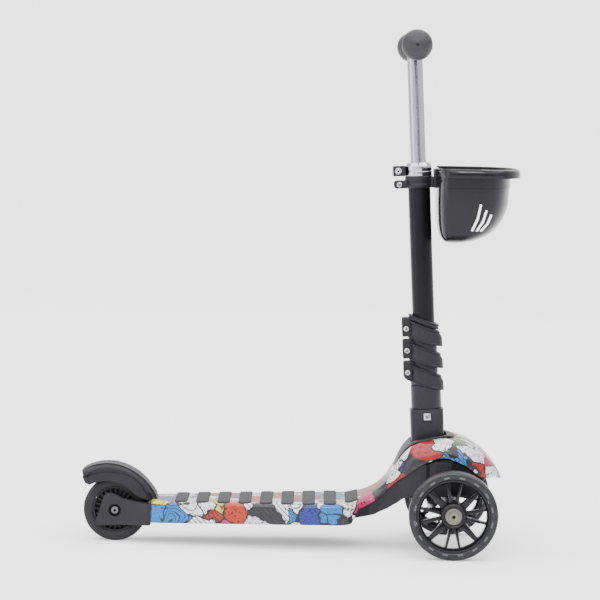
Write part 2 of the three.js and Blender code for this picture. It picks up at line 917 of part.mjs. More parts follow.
// Side view of the fender below its crown, as shares of its radius from its centre
const fenderSideShares = [
  [0.965, 0.286],
  [1.2, 0.6],
  [0.6, 1.2],
  [-0.3, 1.2],
  [-0.72, 1.05],
  [-0.57, 0.82],
  [-0.53, 0.71],
  [-0.5, 0.62],
  [-0.455, 0.555],
  [-0.4, 0.534],
  [-0.287, 0.586],
  [-0.06, 0.616],
  [0.183, 0.58],
  [0.38, 0.471],
  [0.546, 0.335],
  [0.66, 0.275],
  [0.76, 0.268],
];

function brakeFender() {
  const channel = fenderRing(fenderRadius, fenderHalfWidth, fenderSkirtDepth, fenderWall);
  const side = fenderSideShares.map(([x, z]) => [x * fenderRadius, z * fenderRadius]);
  const reach = [-fenderHalfWidth - overrun, fenderHalfWidth + overrun];
  const hole = rod('y', hingePinDiameter + 2 * runningGap, reach, [hingeX - fenderCentreX, hingeZ - fenderCentreZ]);
  return cut(common(channel, sideSlab(side, reach)), hole);
}

function brakeTread() {
  const low = fenderRadius + seatGap;
  const points = [];
  const steps = 2 * treadRidgeCount;
  for (let k = 0; k <= steps; k += 1) {
    const angle = treadFrom + ((treadTo - treadFrom) * k) / steps;
    const radius = low + treadHeight * (k % 2 ? 1 : treadRidgeShare);
    points.push([radius * Math.cos(angle), radius * Math.sin(angle)]);
  }
  const under = arcPoints([0, 0], low, treadTo, treadFrom, steps / 2);
  return sideSlab([...points, ...under], [-treadHalfWidth, treadHalfWidth]);
}

function brakeShoe() {
  const outer = fenderRadius - fenderWall - seatGap;
  const top = arcPoints([0, 0], outer - seatGap, shoeFrom, shoeTo, 6);
  const wheelCentre = [-fenderCentreX, rearAxleZ - fenderCentreZ];
  const bottom = arcPoints(wheelCentre, rearWheelDiameter / 2 + shoeGap, shoeTo, shoeFrom, 6);
  return sideSlab([...top, ...bottom], [-shoeHalfWidth, shoeHalfWidth]);
}

const fender = new THREE.Group();
fender.position.set(fenderCentreX, 0, fenderCentreZ);
scooter.add(fender);
part('brake_fender', brakeFender(), blackPlastic, fender);
part('brake_tread', brakeTread(), blackRubber, fender);
part('brake_shoe', brakeShoe(), blackRubber, fender);

const hinge = new THREE.Group();
hinge.position.set(hingeX, 0, hingeZ);
scooter.add(hinge);

function hingePin() {
  const face = fenderHalfWidth + seatGap;
  const end = face + hingePinHeadHeight;
  const pin = hingePinDiameter / 2;
  const head = hingePinHeadDiameter / 2;
  return turned([[0, -end], [head, -end], [head, -face], [pin, -face], [pin, face], [head, face], [head, end], [0, end]], pinSides);
}

part('brake_hinge_pin', hingePin(), blackPaint, hinge);

function brakeSpring() {
  const length = 2 * hingeEarInner - 4 * brakeSpringWire;
  const radius = hingePinDiameter / 2 + runningGap + brakeSpringWire;
  return coil(radius, brakeSpringWire, length, brakeSpringTurns)
    .translate(0, 0, -length / 2)
    .rotateX(quarterTurn);
}

part('brake_return_spring', brakeSpring(), brightSteel, hinge);

// Front truck: beam, kingpins, knuckles, wheels and the tie rod between the steering arms

const truck = new THREE.Group();
truck.position.set(wheelbase, 0, 0);
scooter.add(truck);

const kingpinY = kingpinSpacing / 2;
const beamTop = truckFloor - seatGap;
const lugTopFace = beamTop - beamLugThickness;
const lugBottomFace = beamBottom + beamLugThickness;

function frontBeam() {
  const depth = [-beamDepth / 2, beamDepth / 2];
  const block = box(depth, [-beamBlockWidth / 2, beamBlockWidth / 2], [beamBottom, beamTop]);
  const lugs = sides.flatMap(({ sign }) => {
    const span = [sign * (beamBlockWidth / 2 - 1), sign * kingpinY].sort(ascending);
    return [[beamBottom, lugBottomFace], [lugTopFace, beamTop]].flatMap((height) => [
      box(depth, span, height),
      rod('z', 2 * beamLugReach, height, [0, sign * kingpinY], roundSides),
    ]);
  });
  const holes = sides.map(({ sign }) =>
    rod('z', kingpinDiameter + 2 * runningGap, [0, coverTop], [0, sign * kingpinY]));
  const pocket = [[beamBottom - 1, lugBottomFace], [lugTopFace, beamTop + 1]].map(([low, high]) =>
    box([-beamDepth / 4, beamDepth / 4], [-beamBlockWidth / 3, beamBlockWidth / 3], [low, high]));
  return cut(join(block, ...lugs), ...holes, ...pocket);
}

part('front_beam', frontBeam(), blackPlastic, truck);

const stubReach = track / 2 - kingpinY - wheelHalf - stubShoulderGap;
const armTop = tieRodHeight - tieRodThickness / 2 - runningGap * 2;
const armLow = armTop - steeringArmThickness;

function knuckle(sign) {
  const barrel = rod('z', knuckleDiameter, [lugBottomFace + seatGap, lugTopFace - seatGap], [0, 0], roundSides);
  const stub = rod('y', knuckleDiameter, [0, sign * stubReach].sort(ascending), [0, frontAxleZ], roundSides);
  const arm = join(
    box([-steeringArmLength, 0], [-steeringArmWidth / 2, steeringArmWidth / 2], [armLow, armTop]),
    rod('z', steeringArmWidth, [armLow, armTop], [-steeringArmLength, 0]),
  );
  const pin = rod('z', steeringPinDiameter, [armTop - 1, tieRodHeight + tieRodThickness], [-steeringArmLength, 0], pinSides);
  const bore = rod('z', kingpinDiameter + 2 * runningGap, [0, coverTop], [0, 0]);
  const thread = rod(
    'y',
    axleDiameter + 2 * seatGap,
    [sign * (kingpinDiameter / 2 + 1.2), sign * (stubReach + 1)].sort(ascending),
    [0, frontAxleZ],
  );
  return cut(join(barrel, stub, arm, pin), bore, thread);
}

function kingpin() {
  const foot = beamBottom - kingpinHeadHeight - seatGap;
  const top = beamTop + seatGap + kingpinHeadHeight;
  const pin = kingpinDiameter / 2;
  const head = kingpinHeadDiameter / 2;
  return lay(turned([
    [0, foot],
    [head, foot],
    [head, beamBottom - seatGap],
    [pin, beamBottom - seatGap],
    [pin, beamTop + seatGap],
    [head, beamTop + seatGap],
    [head, top],
    [0, top],
  ], pinSides), 'z');
}

function frontAxle(sign) {
  const wheelFace = wheelHalf - bearingInset + seatGap;
  const tip = -(track / 2 - kingpinY) + kingpinDiameter / 2 + 2;
  const head = axleHeadDiameter / 2;
  const shank = axleDiameter / 2;
  const top = wheelFace + axleHeadHeight;
  const bolt = cut(turned([
    [0, tip],
    [shank, tip],
    [shank, wheelFace],
    [head, wheelFace],
    [head, top - 0.8],
    [head - 0.8, top],
    [0, top],
  ]), hexSocket([top - hexSocketDepth, top + 1]));
  return sign > 0 ? bolt : bolt.mirror([0, 1, 0]);
}

for (const { word, sign } of sides) {
  const corner = new THREE.Group();
  corner.position.set(0, sign * kingpinY, 0);
  truck.add(corner);
  part(`kingpin_${word}`, kingpin(), brightSteel, corner);
  part(`knuckle_${word}`, knuckle(sign), blackPlastic, corner);
  const wheel = new THREE.Group();
  wheel.position.set(0, sign * (track / 2 - kingpinY), frontAxleZ);
  corner.add(wheel);
  part(`front_axle_${word}`, frontAxle(sign), brightSteel, wheel);
  part(`front_wheel_core_${word}`, frontCore(), blackPlastic, wheel);
  part(`front_tyre_${word}`, tyre(frontWheelDiameter, frontTyreDepth), smokeTyre, wheel);
  part(`front_bearings_${word}`, bearingPair(), brightSteel, wheel);
}

function tieRod() {
  const half = tieRodThickness / 2;
  const height = [tieRodHeight - half, tieRodHeight + half];
  const bar = box([-tieRodWidth / 2, tieRodWidth / 2], [-kingpinY, kingpinY], height);
  const eyes = sides.map(({ sign }) => rod('z', tieRodWidth, height, [0, sign * kingpinY]));
  const pinGap = steeringPinDiameter + 4 * runningGap;
  const holes = sides.flatMap(({ sign }) => [
    rod('z', pinGap, [0, coverTop], [0, sign * kingpinY], pinSides),
    rod('z', pinGap, [0, coverTop], [pinGap / 6, sign * kingpinY], pinSides),
  ]);
  const ballGap = fingerBallDiameter / 2 + 2 * runningGap;
  const ballAt = columnAtPivot - (wheelbase - steeringArmLength);
  const hole = box([ballAt - ballGap, ballAt + ballGap], [-ballGap, ballGap], [0, coverTop]);
  const boss = rod('z', 2 * tieRodWidth, height, [ballAt / 2, 0]);
  return cut(join(bar, boss, ...eyes), ...holes, hole);
}

const tieRodGroup = new THREE.Group();
tieRodGroup.position.set(-steeringArmLength, 0, 0);
truck.add(tieRodGroup);
part('tie_rod', tieRod(), brightSteel, tieRodGroup);

// Lean pivot: a block on a lengthwise pin, with a finger below and spring wings at its sides

const pivot = new THREE.Group();
pivot.position.set(columnAtPivot, 0, pivotHeight);
scooter.add(pivot);

function pivotPin() {
  const half = pivotBarrelLength / 2 + 1.4 + cradleThickness;
  return lay(turned([
    [0, -half - pivotPinHead],
    [pivotPinDiameter, -half - pivotPinHead],
    [pivotPinDiameter, -half - seatGap],
    [pivotPinDiameter / 2, -half - seatGap],
    [pivotPinDiameter / 2, half + seatGap],
    [pivotPinDiameter, half + seatGap],
    [pivotPinDiameter, half + pivotPinHead],
    [0, half + pivotPinHead],
  ], smallSides), 'x');
}

part('lean_pivot_pin', pivotPin(), brightSteel, pivot);

const wingLow = wingRise;
const springFoot = truckFloor + chassisWall + seatGap - pivotHeight;

function leanBlock() {
  const reach = [-pivotBarrelLength / 2, pivotBarrelLength / 2];
  const barrel = rod('x', pivotBarrelDiameter, reach, [0, 0], roundSides);
  const neck = box([-socketLength / 2 + 4, socketLength / 2 - 6], [-socketWidth / 2 + 6, socketWidth / 2 - 6], [0, socketFoot - seatGap])
    .rotateY(-columnRake);
  const wings = box([-wingLength / 2, wingLength / 2], [-wingReach, wingReach], [wingLow, wingLow + wingThickness]);
  const ballAt = tieRodHeight - pivotHeight;
  const finger = rod('z', fingerNeckDiameter, [ballAt, 0], [0, 0]);
  const shoulder = rod('z', 2 * fingerNeckDiameter, [truckFloor + chassisWall + 1 - pivotHeight, 0], [0, 0]);
  const ball = new THREE.SphereGeometry(fingerBallDiameter / 2, pinSides, pinSides / 2)
    .rotateX(quarterTurn).translate(0, 0, ballAt);
  const bore = rod('x', pivotPinDiameter + 2 * runningGap, [-pivotBarrelLength, pivotBarrelLength], [0, 0]);
  return cut(join(barrel, neck, wings, finger, shoulder, ball), bore);
}

part('lean_block', leanBlock(), blackPlastic, pivot);

for (const { word, sign } of sides) {
  const length = wingLow - springFoot - springWire - 2 * seatGap;
  const spring = coil((springDiameter - springWire) / 2, springWire, length, springTurns)
    .translate(0, sign * springSpacing, springFoot + springWire / 2 + seatGap);
  part(`centring_spring_${word}`, spring, brightSteel, pivot);
}

// Column: everything here is raked back about the lean pivot

const column = new THREE.Group();
column.rotation.y = -columnRake;
pivot.add(column);

const columnRadius = columnTubeDiameter / 2;
const columnBoreRadius = columnRadius - tubeWall;

function columnTube() {
  const tube = ring(columnRadius, columnBoreRadius, [socketFoot + seatGap, columnTubeTop]);
  return cut(lay(tube, 'z'), rod('y', socketScrewDiameter + 2 * seatGap, [-socketWidth, 0], [0, socketScrewRise]));
}

function socket() {
  const plan = roundedRectangle(
    [-socketLength / 2, socketLength / 2],
    [-socketWidth / 2, socketWidth / 2],
    socketCorner,
  );
  const body = planSlab(plan, [socketFoot, socketTop]);
  const bore = rod('z', columnTubeDiameter + 2 * seatGap, [0, socketTop + 1], [0, 0], roundSides);
  const hole = rod('y', socketScrewDiameter + 2 * seatGap, [-socketWidth, 0], [0, socketScrewRise]);
  return cut(body, bore, hole);
}

function socketScrew() {
  const half = socketScrewSquare / 2;
  const face = -(socketWidth / 2 + seatGap);
  const head = box([-half, half], [face - socketScrewHeadHeight, face], [socketScrewRise - half, socketScrewRise + half]);
  const shank = rod('y', socketScrewDiameter, [face - 1, -columnBoreRadius], [0, socketScrewRise], pinSides);
  return join(head, shank);
}

part('column_tube', columnTube(), blackPaint, column);
part('column_socket', socket(), blackPlastic, column);
part('socket_screw', socketScrew(), brightSteel, column);
part('lower_tube', lay(ring(
  lowerTubeDiameter / 2,
  columnRadius + seatGap,
  [socketTop + seatGap, lowerTubeTop],
), 'z'), blackPlastic, column);

// Spiral clamp sleeve: three tilted flared bands round one tube, each closed by a bolt at the back

const lugFace = -(columnRadius + lugDepth);
const sleeveBoltX = lugFace + lugDepth * 0.4;

function clampSleeve() {
  const low = lowerTubeTop + seatGap;
  const core = rod('z', sleeveCoreDiameter, [low, sleeveTop + bandHeight], [0, 0], roundSides);
  const reach = [-bandFootDiameter, bandFootDiameter];
  const above = box(reach, reach, [0, bandFootDiameter]).rotateY(bandTilt).translate(0, 0, sleeveTop);
  const band = turned([
    [0, -bandHeight / 2],
    [bandFootDiameter / 2, -bandHeight / 2],
    [bandMiddleDiameter / 2, bandHeight * bandShoulderShare],
    [bandTopDiameter / 2, bandHeight / 2],
    [0, bandHeight / 2],
  ], roundSides);
  const bands = [0, 1, 2].map((k) => lay(band.clone(), 'z')
    .rotateY(bandTilt)
    .translate(bandShift, 0, bandLowest + k * bandPitch));
  const lugs = [0, 1, 2].map((k) => {
    const z = lugLowest + k * bandPitch;
    const plan = roundedRectangle(
      [lugFace, -columnRadius],
      [z - lugHeight / 2, z + lugHeight / 2],
      lugCorner,
    );
    return planSlab(plan, [-lugWidth / 2, lugWidth / 2]).rotateX(quarterTurn);
  });
  const bore = rod('z', columnTubeDiameter + 2 * seatGap, [0, sleeveTop + bandHeight], [0, 0], roundSides);
  const below = rod('z', lowerTubeDiameter + 2 * seatGap, [0, low], [0, 0], roundSides);
  const slit = box([lugFace - 1, 0], [-clampSlit / 2, clampSlit / 2], [0, sleeveTop + bandHeight]);
  const holes = [0, 1, 2].map((k) => rod(
    'y',
    clampBoltDiameter + 2 * seatGap,
    [-lugWidth, lugWidth],
    [sleeveBoltX, lugLowest + k * bandPitch],
    pinSides,
  ));
  return cut(join(cut(core, above), ...bands, ...lugs), bore, below, slit, ...holes);
}

function crossBolt(halfWidth, shankDiameter, headDiameter) {
  const face = halfWidth + seatGap;
  const end = face + clampBoltHeadHeight;
  const shank = shankDiameter / 2;
  const head = headDiameter / 2;
  const bevel = clampBoltHeadHeight / 4;
  return turned([
    [0, -end],
    [head - bevel, -end],
    [head, -end + bevel],
    [head, -face],
    [shank, -face],
    [shank, face],
    [head, face],
    [head, end],
    [0, end],
  ], pinSides);
}

part('clamp_sleeve', clampSleeve(), blackPlastic, column);
for (let k = 0; k < 3; k += 1) {
  const bolt = part(
    `sleeve_bolt_${k + 1}`,
    crossBolt(lugWidth / 2, clampBoltDiameter, clampBoltHeadDiameter),
    brightSteel,
    column,
  );
  bolt.position.set(sleeveBoltX, 0, lugLowest + k * bandPitch);
}

// Height collar at the top of the column and the basket clamp under it

const collarRadius = collarDiameter / 2;
const collarFoot = collarTop - collarHeight;
const basketClampTop = collarFoot - seatGap;
const basketClampFoot = basketClampTop - basketClampHeight;

function heightCollar() {
  const bore = columnRadius + seatGap;
  const neck = stemDiameter / 2 + seatGap;
  return lay(turned([
    [bore, collarFoot],
    [collarRadius, collarFoot],
    [collarRadius, collarTop - collarChamfer],
    [collarRadius - collarChamfer, collarTop],
    [neck, collarTop],
    [neck, collarTop - collarLip],
    [bore, collarTop - collarLip],
    [bore, collarFoot],
  ]), 'z');
}

function rearLug([low, high], depth, width, corner, ringRadius) {
  const shape = roundedRectangle([-(ringRadius + depth), -ringRadius * 0.8], [low, high], corner);
  return planSlab(shape, [-width / 2, width / 2]).rotateX(quarterTurn);
}

function collarLug() {
  const body = rearLug(
    [collarLugRise - collarLugHeight / 2, collarLugRise + collarLugHeight / 2],
    collarLugDepth,
    collarLugWidth,
    1.5,
    collarRadius,
  );
  const seat = rod('z', collarDiameter + 2 * seatGap, [0, collarTop + overrun], [0, 0], roundSides);
  const hole = rod('y', clampBoltDiameter + 2 * seatGap, [-collarLugWidth, collarLugWidth], [collarBoltX, collarLugRise]);
  return cut(body, seat, hole);
}

const collarBoltX = -(collarRadius + collarLugDepth * 0.58);
const clampRadius = basketClampDiameter / 2;
const clampBoltX = -(clampRadius + basketClampLugDepth * 0.5);
const clampLugRise = basketClampFoot + basketClampLugHeight / 2;

function basketClamp() {
  const body = rod('z', basketClampDiameter, [basketClampFoot, basketClampTop], [0, 0], roundSides);
  const lug = rearLug(
    [basketClampFoot, basketClampFoot + basketClampLugHeight],
    basketClampLugDepth,
    lugWidth,
    basketClampLugHeight / 2 - 0.5,
    clampRadius,
  );
  const rake = new THREE.Matrix4().makeRotationY(columnRake);
  const plateFront = basketRear - basketWallGap;
  const plate = box(
    [plateFront - bracketThickness, plateFront],
    [-bracketWidth / 2, bracketWidth / 2],
    [pivotHeight + basketClampFoot, pivotHeight + bracketTopRise],
  ).translate(-columnAtPivot, 0, -pivotHeight).applyMatrix4(rake);
  const armReach = [0, clampRadius + bracketReach()];
  const arm = box(armReach, [-bracketArmWidth / 2, bracketArmWidth / 2], [basketClampFoot, basketClampTop]);
  const front = box(
    [plateFront, plateFront + 2 * clampRadius],
    [-bracketWidth, bracketWidth],
    [pivotHeight, pivotHeight + 2 * bracketTopRise],
  ).translate(-columnAtPivot, 0, -pivotHeight).applyMatrix4(rake);
  const bore = rod('z', columnTubeDiameter + 2 * seatGap, [0, collarTop], [0, 0], roundSides);
  const slit = box([-2 * clampRadius, 0], [-clampSlit / 2, clampSlit / 2], [0, collarTop]);
  const hole = rod('y', clampBoltDiameter + 2 * seatGap, [-lugWidth, lugWidth], [clampBoltX, clampLugRise], pinSides);
  const collarRoom = rod('z', collarDiameter + 2 * seatGap, [basketClampTop, collarTop + 1], [0, 0], roundSides);
  const screwHole = rod(
    'x',
    basketScrewDiameter + 2 * seatGap,
    [plateFront - 2 * bracketThickness, plateFront + 1],
    [0, basketScrewZ],
  ).translate(-columnAtPivot, 0, -pivotHeight).applyMatrix4(rake);
  return cut(join(body, lug, arm, plate), front, bore, slit, hole, collarRoom, screwHole);
}

const basketWallGap = seatGap;
const basketScrewZ = pivotHeight + bracketTopRise - 5.5;

function bracketReach() {
  const tubeX = columnAtPivot - Math.tan(columnRake) * basketClampTop;
  return basketRear - tubeX - clampRadius;
}

part('height_collar', heightCollar(), alloy, column);
part('collar_lug', collarLug(), blackPlastic, column);
part('collar_bolt', crossBolt(collarLugWidth / 2, clampBoltDiameter, collarBoltHeadDiameter), brightSteel, column)
  .position.set(collarBoltX, 0, collarLugRise);
part('basket_clamp', basketClamp(), blackPlastic, column);
part('basket_clamp_bolt', crossBolt(lugWidth / 2, clampBoltDiameter, clampBoltHeadDiameter), brightSteel, column)
  .position.set(clampBoltX, 0, clampLugRise);

// Basket: a round-fronted bucket with a flared rim and three slots in each flank
// Each row: share of the height, share of the depth at the back, at the front, share of the half width
const basketRingShares = [
  [0, 0.115, 0.4, 0.62],
  [0.03, 0.075, 0.56, 0.74],
  [0.08, 0.05, 0.69, 0.83],
  [0.22, 0.02, 0.85, 0.91],
  [0.36, 0.01, 0.935, 0.95],
  [0.54, 0, 0.985, 0.98],
  [0.876, 0, 1, 1],
];

function basketRing(z, rear, front, half) {
  const middle = (rear + front) / 2;
  const reach = (front - rear) / 2;
  return Array.from({ length: basketRingPoints }, (_, k) => {
    const angle = (k * fullTurn) / basketRingPoints;
    const [c, s] = [Math.cos(angle), Math.sin(angle)];
    const blunt = c < 0 ? 0.3 : 0.86;
    const side = c < 0 ? 0.45 : 0.82;
    return [
      middle + reach * Math.sign(c) * Math.abs(c) ** blunt,
      half * Math.sign(s) * Math.abs(s) ** side,
      z,
    ];
  });
}

function basket() {
  const depth = basketFront - basketRear;
  const height = basketTop - basketFoot;
  const halfWidth = basketWidth / 2;
  const level = ([up, rear, front, half], inset) => basketRing(
    basketFoot + up * height + inset,
    basketRear + rear * depth + inset,
    basketRear + front * depth - inset,
    half * halfWidth - inset,
  );
  const lip = (z, share) => basketRing(
    z,
    basketRear,
    basketFront + share * basketRimFront,
    halfWidth + share * basketRimSide,
  );
  const rimFoot = basketTop - basketRimHeight;
  const outer = loft([
    ...basketRingShares.map((row) => level(row, 0)),
    lip(rimFoot + 0.5, 1),
    lip(basketTop - basketRimHeight / 3, 0.9),
    lip(basketTop, 0.4),
  ]);
  const inner = loft([
    ...basketRingShares.slice(0, -1).map((row) => level(row, basketWall)),
    level([1.05, 0, 1, 1], basketWall),
  ]);
  const flare = loft([
    basketRing(rimFoot + basketWall, basketRear + basketWall, basketFront - basketWall, halfWidth - basketWall),
    basketRing(
      rimFoot + basketWall + 0.5,
      basketRear + basketWall,
      basketFront + basketRimFront - basketWall,
      halfWidth + basketRimSide - basketWall,
    ),
    basketRing(
      basketTop - basketWall,
      basketRear + basketWall,
      basketFront + basketRimFront * 0.7 - basketWall,
      halfWidth + basketRimSide * 0.7 - basketWall,
    ),
    basketRing(basketTop + 1, basketRear + basketWall, basketFront - basketWall, halfWidth - basketWall),
  ]);
  const slots = basketSlotShares.map(([footX, topX, topZ]) => {
    const foot = [basketRear + footX * depth, basketFoot + basketSlotFootShare * height];
    const head = [basketRear + topX * depth, basketFoot + topZ * height];
    const bow = [(foot[0] + head[0]) / 2 + basketSlotWidth * 0.6, (foot[1] + head[1]) / 2 - basketSlotWidth * 0.4];
    const half = basketSlotWidth / 2;
    const shift = ([x, z], side) => [x + side * half, z - side * half * 0.3];
    const edge = [
      shift(foot, -1), shift(foot, 1), shift(bow, 1), shift(head, 1), shift(head, -1), shift(bow, -1),
    ];
    return sideSlab(edge, [-halfWidth - overrun, halfWidth + overrun]);
  });
  const screwHole = rod(
    'x',
    basketScrewDiameter + 2 * seatGap,
    [basketRear - overrun, basketRear + overrun],
    [0, basketScrewZ],
  );
  return cut(outer, inner, ...slots, screwHole);
}

// Each row: where a slot's foot and head lie, as shares of the basket's depth, and its head's height
const basketSlotFootShare = 0.145;
const basketSlotShares = [
  [0.485, 0.588, 0.52],
  [0.562, 0.676, 0.435],
  [0.618, 0.765, 0.384],
];

const basketGroup = new THREE.Group();
scooter.add(basketGroup);
part('basket', basket(), glossBlackPlastic, basketGroup);

function basketScrew() {
  const head = basketScrewHeadDiameter / 2;
  const shank = basketScrewDiameter / 2;
  const inside = basketRear + basketWall + seatGap;
  const back = basketRear - basketWallGap - bracketThickness + 0.5;
  return lay(turned([
    [0, back],
    [shank, back],
    [shank, inside],
    [head, inside],
    [head - 1, inside + basketScrewHeadHeight],
    [0, inside + basketScrewHeadHeight],
  ], pinSides), 'x').translate(0, 0, basketScrewZ);
}

part('basket_screw', basketScrew(), brightSteel, basketGroup);

// T-bar: a stem that slides in the column, a crossbar and two grips

function stem() {
  const radius = stemDiameter / 2;
  const bush = columnBoreRadius - runningGap;
  const tube = turned([
    [radius - tubeWall, stemFoot],
    [bush, stemFoot],
    [bush, stemFoot + stemBushHeight],
    [radius, stemFoot + stemBushHeight],
    [radius, crossbarRise],
    [radius - tubeWall, crossbarRise],
    [radius - tubeWall, stemFoot],
  ]);
  const saddle = rod('y', stemDiameter + 2 * seatGap, [-stemDiameter, stemDiameter], [0, crossbarRise], roundSides);
  return cut(lay(tube, 'z'), saddle);
}

function crossbar() {
  const radius = stemDiameter / 2;
  return ring(radius, radius - tubeWall, [-crossbarHalfLength, crossbarHalfLength]);
}

part('tbar_stem', stem(), alloy, column);
part('crossbar', crossbar(), alloy, column).position.z = crossbarRise;

function grip(sign) {
  const bore = stemDiameter / 2 + seatGap;
  const body = gripBodyDiameter / 2;
  const ball = gripBallDiameter / 2;
  const flange = gripFlangeDiameter / 2;
  const ballCentre = gripOuter - ball * 0.62;
  const profile = [
    [bore, gripInner],
    [flange - 1.5, gripInner],
    [flange, gripInner + gripFlangeWidth / 2],
    [flange - 1.5, gripInner + gripFlangeWidth],
    [body - 1, gripInner + gripFlangeWidth + 2],
    [body, (gripInner + ballCentre) / 2],
    [body - 0.5, ballCentre - ball * 0.9],
    [ball * 0.9, ballCentre - ball * 0.42],
    [ball, ballCentre],
    [ball * 0.93, ballCentre + ball * 0.3],
    [ball * 0.72, ballCentre + ball * 0.5],
    [gripDimpleDiameter, gripOuter],
    [gripDimpleDiameter / 2, gripOuter - 0.3],
    [0, gripOuter - gripDimpleDepth],
    [0, crossbarHalfLength + seatGap],
    [bore, crossbarHalfLength + seatGap],
    [bore, gripInner],
  ].map(([r, y]) => [r, sign * y]);
  return turned(profile);
}

for (const { word, sign } of sides) {
  part(`grip_${word}`, grip(sign), blackRubber, column).position.set(0, 0, crossbarRise);
}

// The origin is the middle of the footprint: half way from the fender's tip to the basket's rim
const footprint = new THREE.Box3().setFromObject(scooter, true);
scooter.position.x = -(footprint.min.x + footprint.max.x) / 2;

export default scooter;
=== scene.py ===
import math

import bmesh
import bpy
from mathutils import Matrix, Vector
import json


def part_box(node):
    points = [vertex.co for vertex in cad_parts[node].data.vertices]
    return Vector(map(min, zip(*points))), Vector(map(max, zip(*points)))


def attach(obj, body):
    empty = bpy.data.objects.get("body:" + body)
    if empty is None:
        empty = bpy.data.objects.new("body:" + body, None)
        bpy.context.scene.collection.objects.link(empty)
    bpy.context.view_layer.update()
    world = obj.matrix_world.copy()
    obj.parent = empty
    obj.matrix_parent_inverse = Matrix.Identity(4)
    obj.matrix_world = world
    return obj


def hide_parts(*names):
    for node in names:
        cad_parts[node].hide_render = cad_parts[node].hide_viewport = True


# Kick scooter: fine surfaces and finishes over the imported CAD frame.
# Sizes in the dictionaries are millimetres, with X counted forwards from the rear axle.

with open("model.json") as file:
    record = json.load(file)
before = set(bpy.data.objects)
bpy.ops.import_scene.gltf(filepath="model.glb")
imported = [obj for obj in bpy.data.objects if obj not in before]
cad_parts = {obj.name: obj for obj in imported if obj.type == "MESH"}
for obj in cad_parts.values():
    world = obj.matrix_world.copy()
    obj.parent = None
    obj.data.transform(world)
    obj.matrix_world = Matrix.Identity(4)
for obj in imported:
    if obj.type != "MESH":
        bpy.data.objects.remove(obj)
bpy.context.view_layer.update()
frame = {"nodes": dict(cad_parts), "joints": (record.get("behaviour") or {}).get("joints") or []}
mm = 0.001
joints = {joint["name"]: joint for joint in frame["joints"]}
rearAxle = Vector(joints["rear_wheel_spin"]["pos_m"])
frontAxle = Vector(joints["front_wheel_left_spin"]["pos_m"])
leanPivot = Vector(joints["column_lean"]["pos_m"])
brakeHinge = Vector(joints["brake_press"]["pos_m"])
columnAxis = Vector(joints["tbar_height"]["axis"])
columnFrame = Matrix.Translation(leanPivot) @ Matrix.Rotation(math.atan2(columnAxis.x, columnAxis.z), 4, "Y")
groundFrame = Matrix.Translation((rearAxle.x, 0, 0))
alongX = Matrix.Rotation(math.pi / 2, 4, "Y")
alongY = Matrix.Rotation(-math.pi / 2, 4, "X")
upright = Matrix.Rotation(math.pi / 2, 4, "X")
sideways = {1: alongY, -1: upright}
unmoved = Matrix.Identity(4)
print("frame loaded")


# shader helpers


class Wire:
    # an output that can be reckoned with
    def __init__(self, sheet, socket):
        self.sheet = sheet
        self.socket = socket

    def reckon(self, kind, *others):
        return self.sheet.node("ShaderNodeMath", {"operation": kind}, [self, *others])

    def __add__(self, other):
        return self.reckon("ADD", other)

    def __mul__(self, other):
        return self.reckon("MULTIPLY", other)

    def __gt__(self, other):
        return self.reckon("GREATER_THAN", other)

    def __lt__(self, other):
        return self.reckon("LESS_THAN", other)


class Sheet:
    # a node tree to be filled
    def __init__(self, tree):
        self.tree = tree

    def node(self, kind, settings, inputs=(), output=0):
        made = self.tree.nodes.new(kind)
        for key, value in settings.items():
            if key == "stops":
                ramp = made.color_ramp
                while len(ramp.elements) < len(value):
                    ramp.elements.new(0.5)
                for element, (place, color) in zip(ramp.elements, value):
                    element.position = place
                    element.color = (*color, 1)
            elif key == "interpolation":
                made.color_ramp.interpolation = value
            else:
                setattr(made, key, value)
        pairs = inputs.items() if isinstance(inputs, dict) else enumerate(inputs)
        for key, value in pairs:
            if isinstance(value, Wire):
                self.tree.links.new(value.socket, made.inputs[key])
            else:
                made.inputs[key].default_value = value
        return Wire(self, made.outputs[output])


class Finish(Sheet):
    # one material: its principled shader, and the nodes that feed it
    def __init__(self, name, settings=None):
        self.material = bpy.data.materials.new(name)
        self.material.use_nodes = True
        super().__init__(self.material.node_tree)
        self.shader = self.tree.nodes["Principled BSDF"]
        for socket, value in (settings or {}).items():
            self.shader.inputs[socket].default_value = value
        self.spot = self.node("ShaderNodeTexCoord", {}, [], "Object")

    def mix(self, share, first, second):
        settings = {"data_type": "RGBA"}
        return self.node("ShaderNodeMix", settings, {0: share, 6: first, 7: second}, 2)

    def noise(self, scale, detail=3, rough=0.5, where=None):
        inputs = {"Vector": where or self.spot, "Scale": scale, "Detail": detail, "Roughness": rough}
        return self.node("ShaderNodeTexNoise", {}, inputs)

    def axis(self, name):
        return self.node("ShaderNodeSeparateXYZ", {}, [self.spot], name)

    def feed(self, socket, wire):
        self.tree.links.new(wire.socket, self.shader.inputs[socket])

    def bump(self, height, depth, strength=1.0):
        made = self.node("ShaderNodeBump", {}, {"Strength": strength, "Distance": depth, "Height": height})
        self.feed("Normal", made)


def black(level):
    # the plastics are a little purple
    return (level, level * 0.93, level * 1.16, 1)


# finishes


sheen = (0.93, 0.9, 1.0, 1)


def mouldedBlack(name, level, rough, coat=0.0, grain=0.00012, shine=0.22):
    finish = Finish(name, {
        "Coat Weight": coat, "Coat Roughness": 0.12, "Specular IOR Level": shine, "Specular Tint": sheen,
    })
    cloud = finish.noise(38, 4)
    speckle = finish.noise(1900, 2)
    color = finish.mix(cloud, black(level * 0.72), black(level * 1.3))
    finish.feed("Base Color", color)
    finish.feed("Roughness", cloud * 0.16 + (rough - 0.08))
    finish.bump(speckle, grain)
    return finish.material


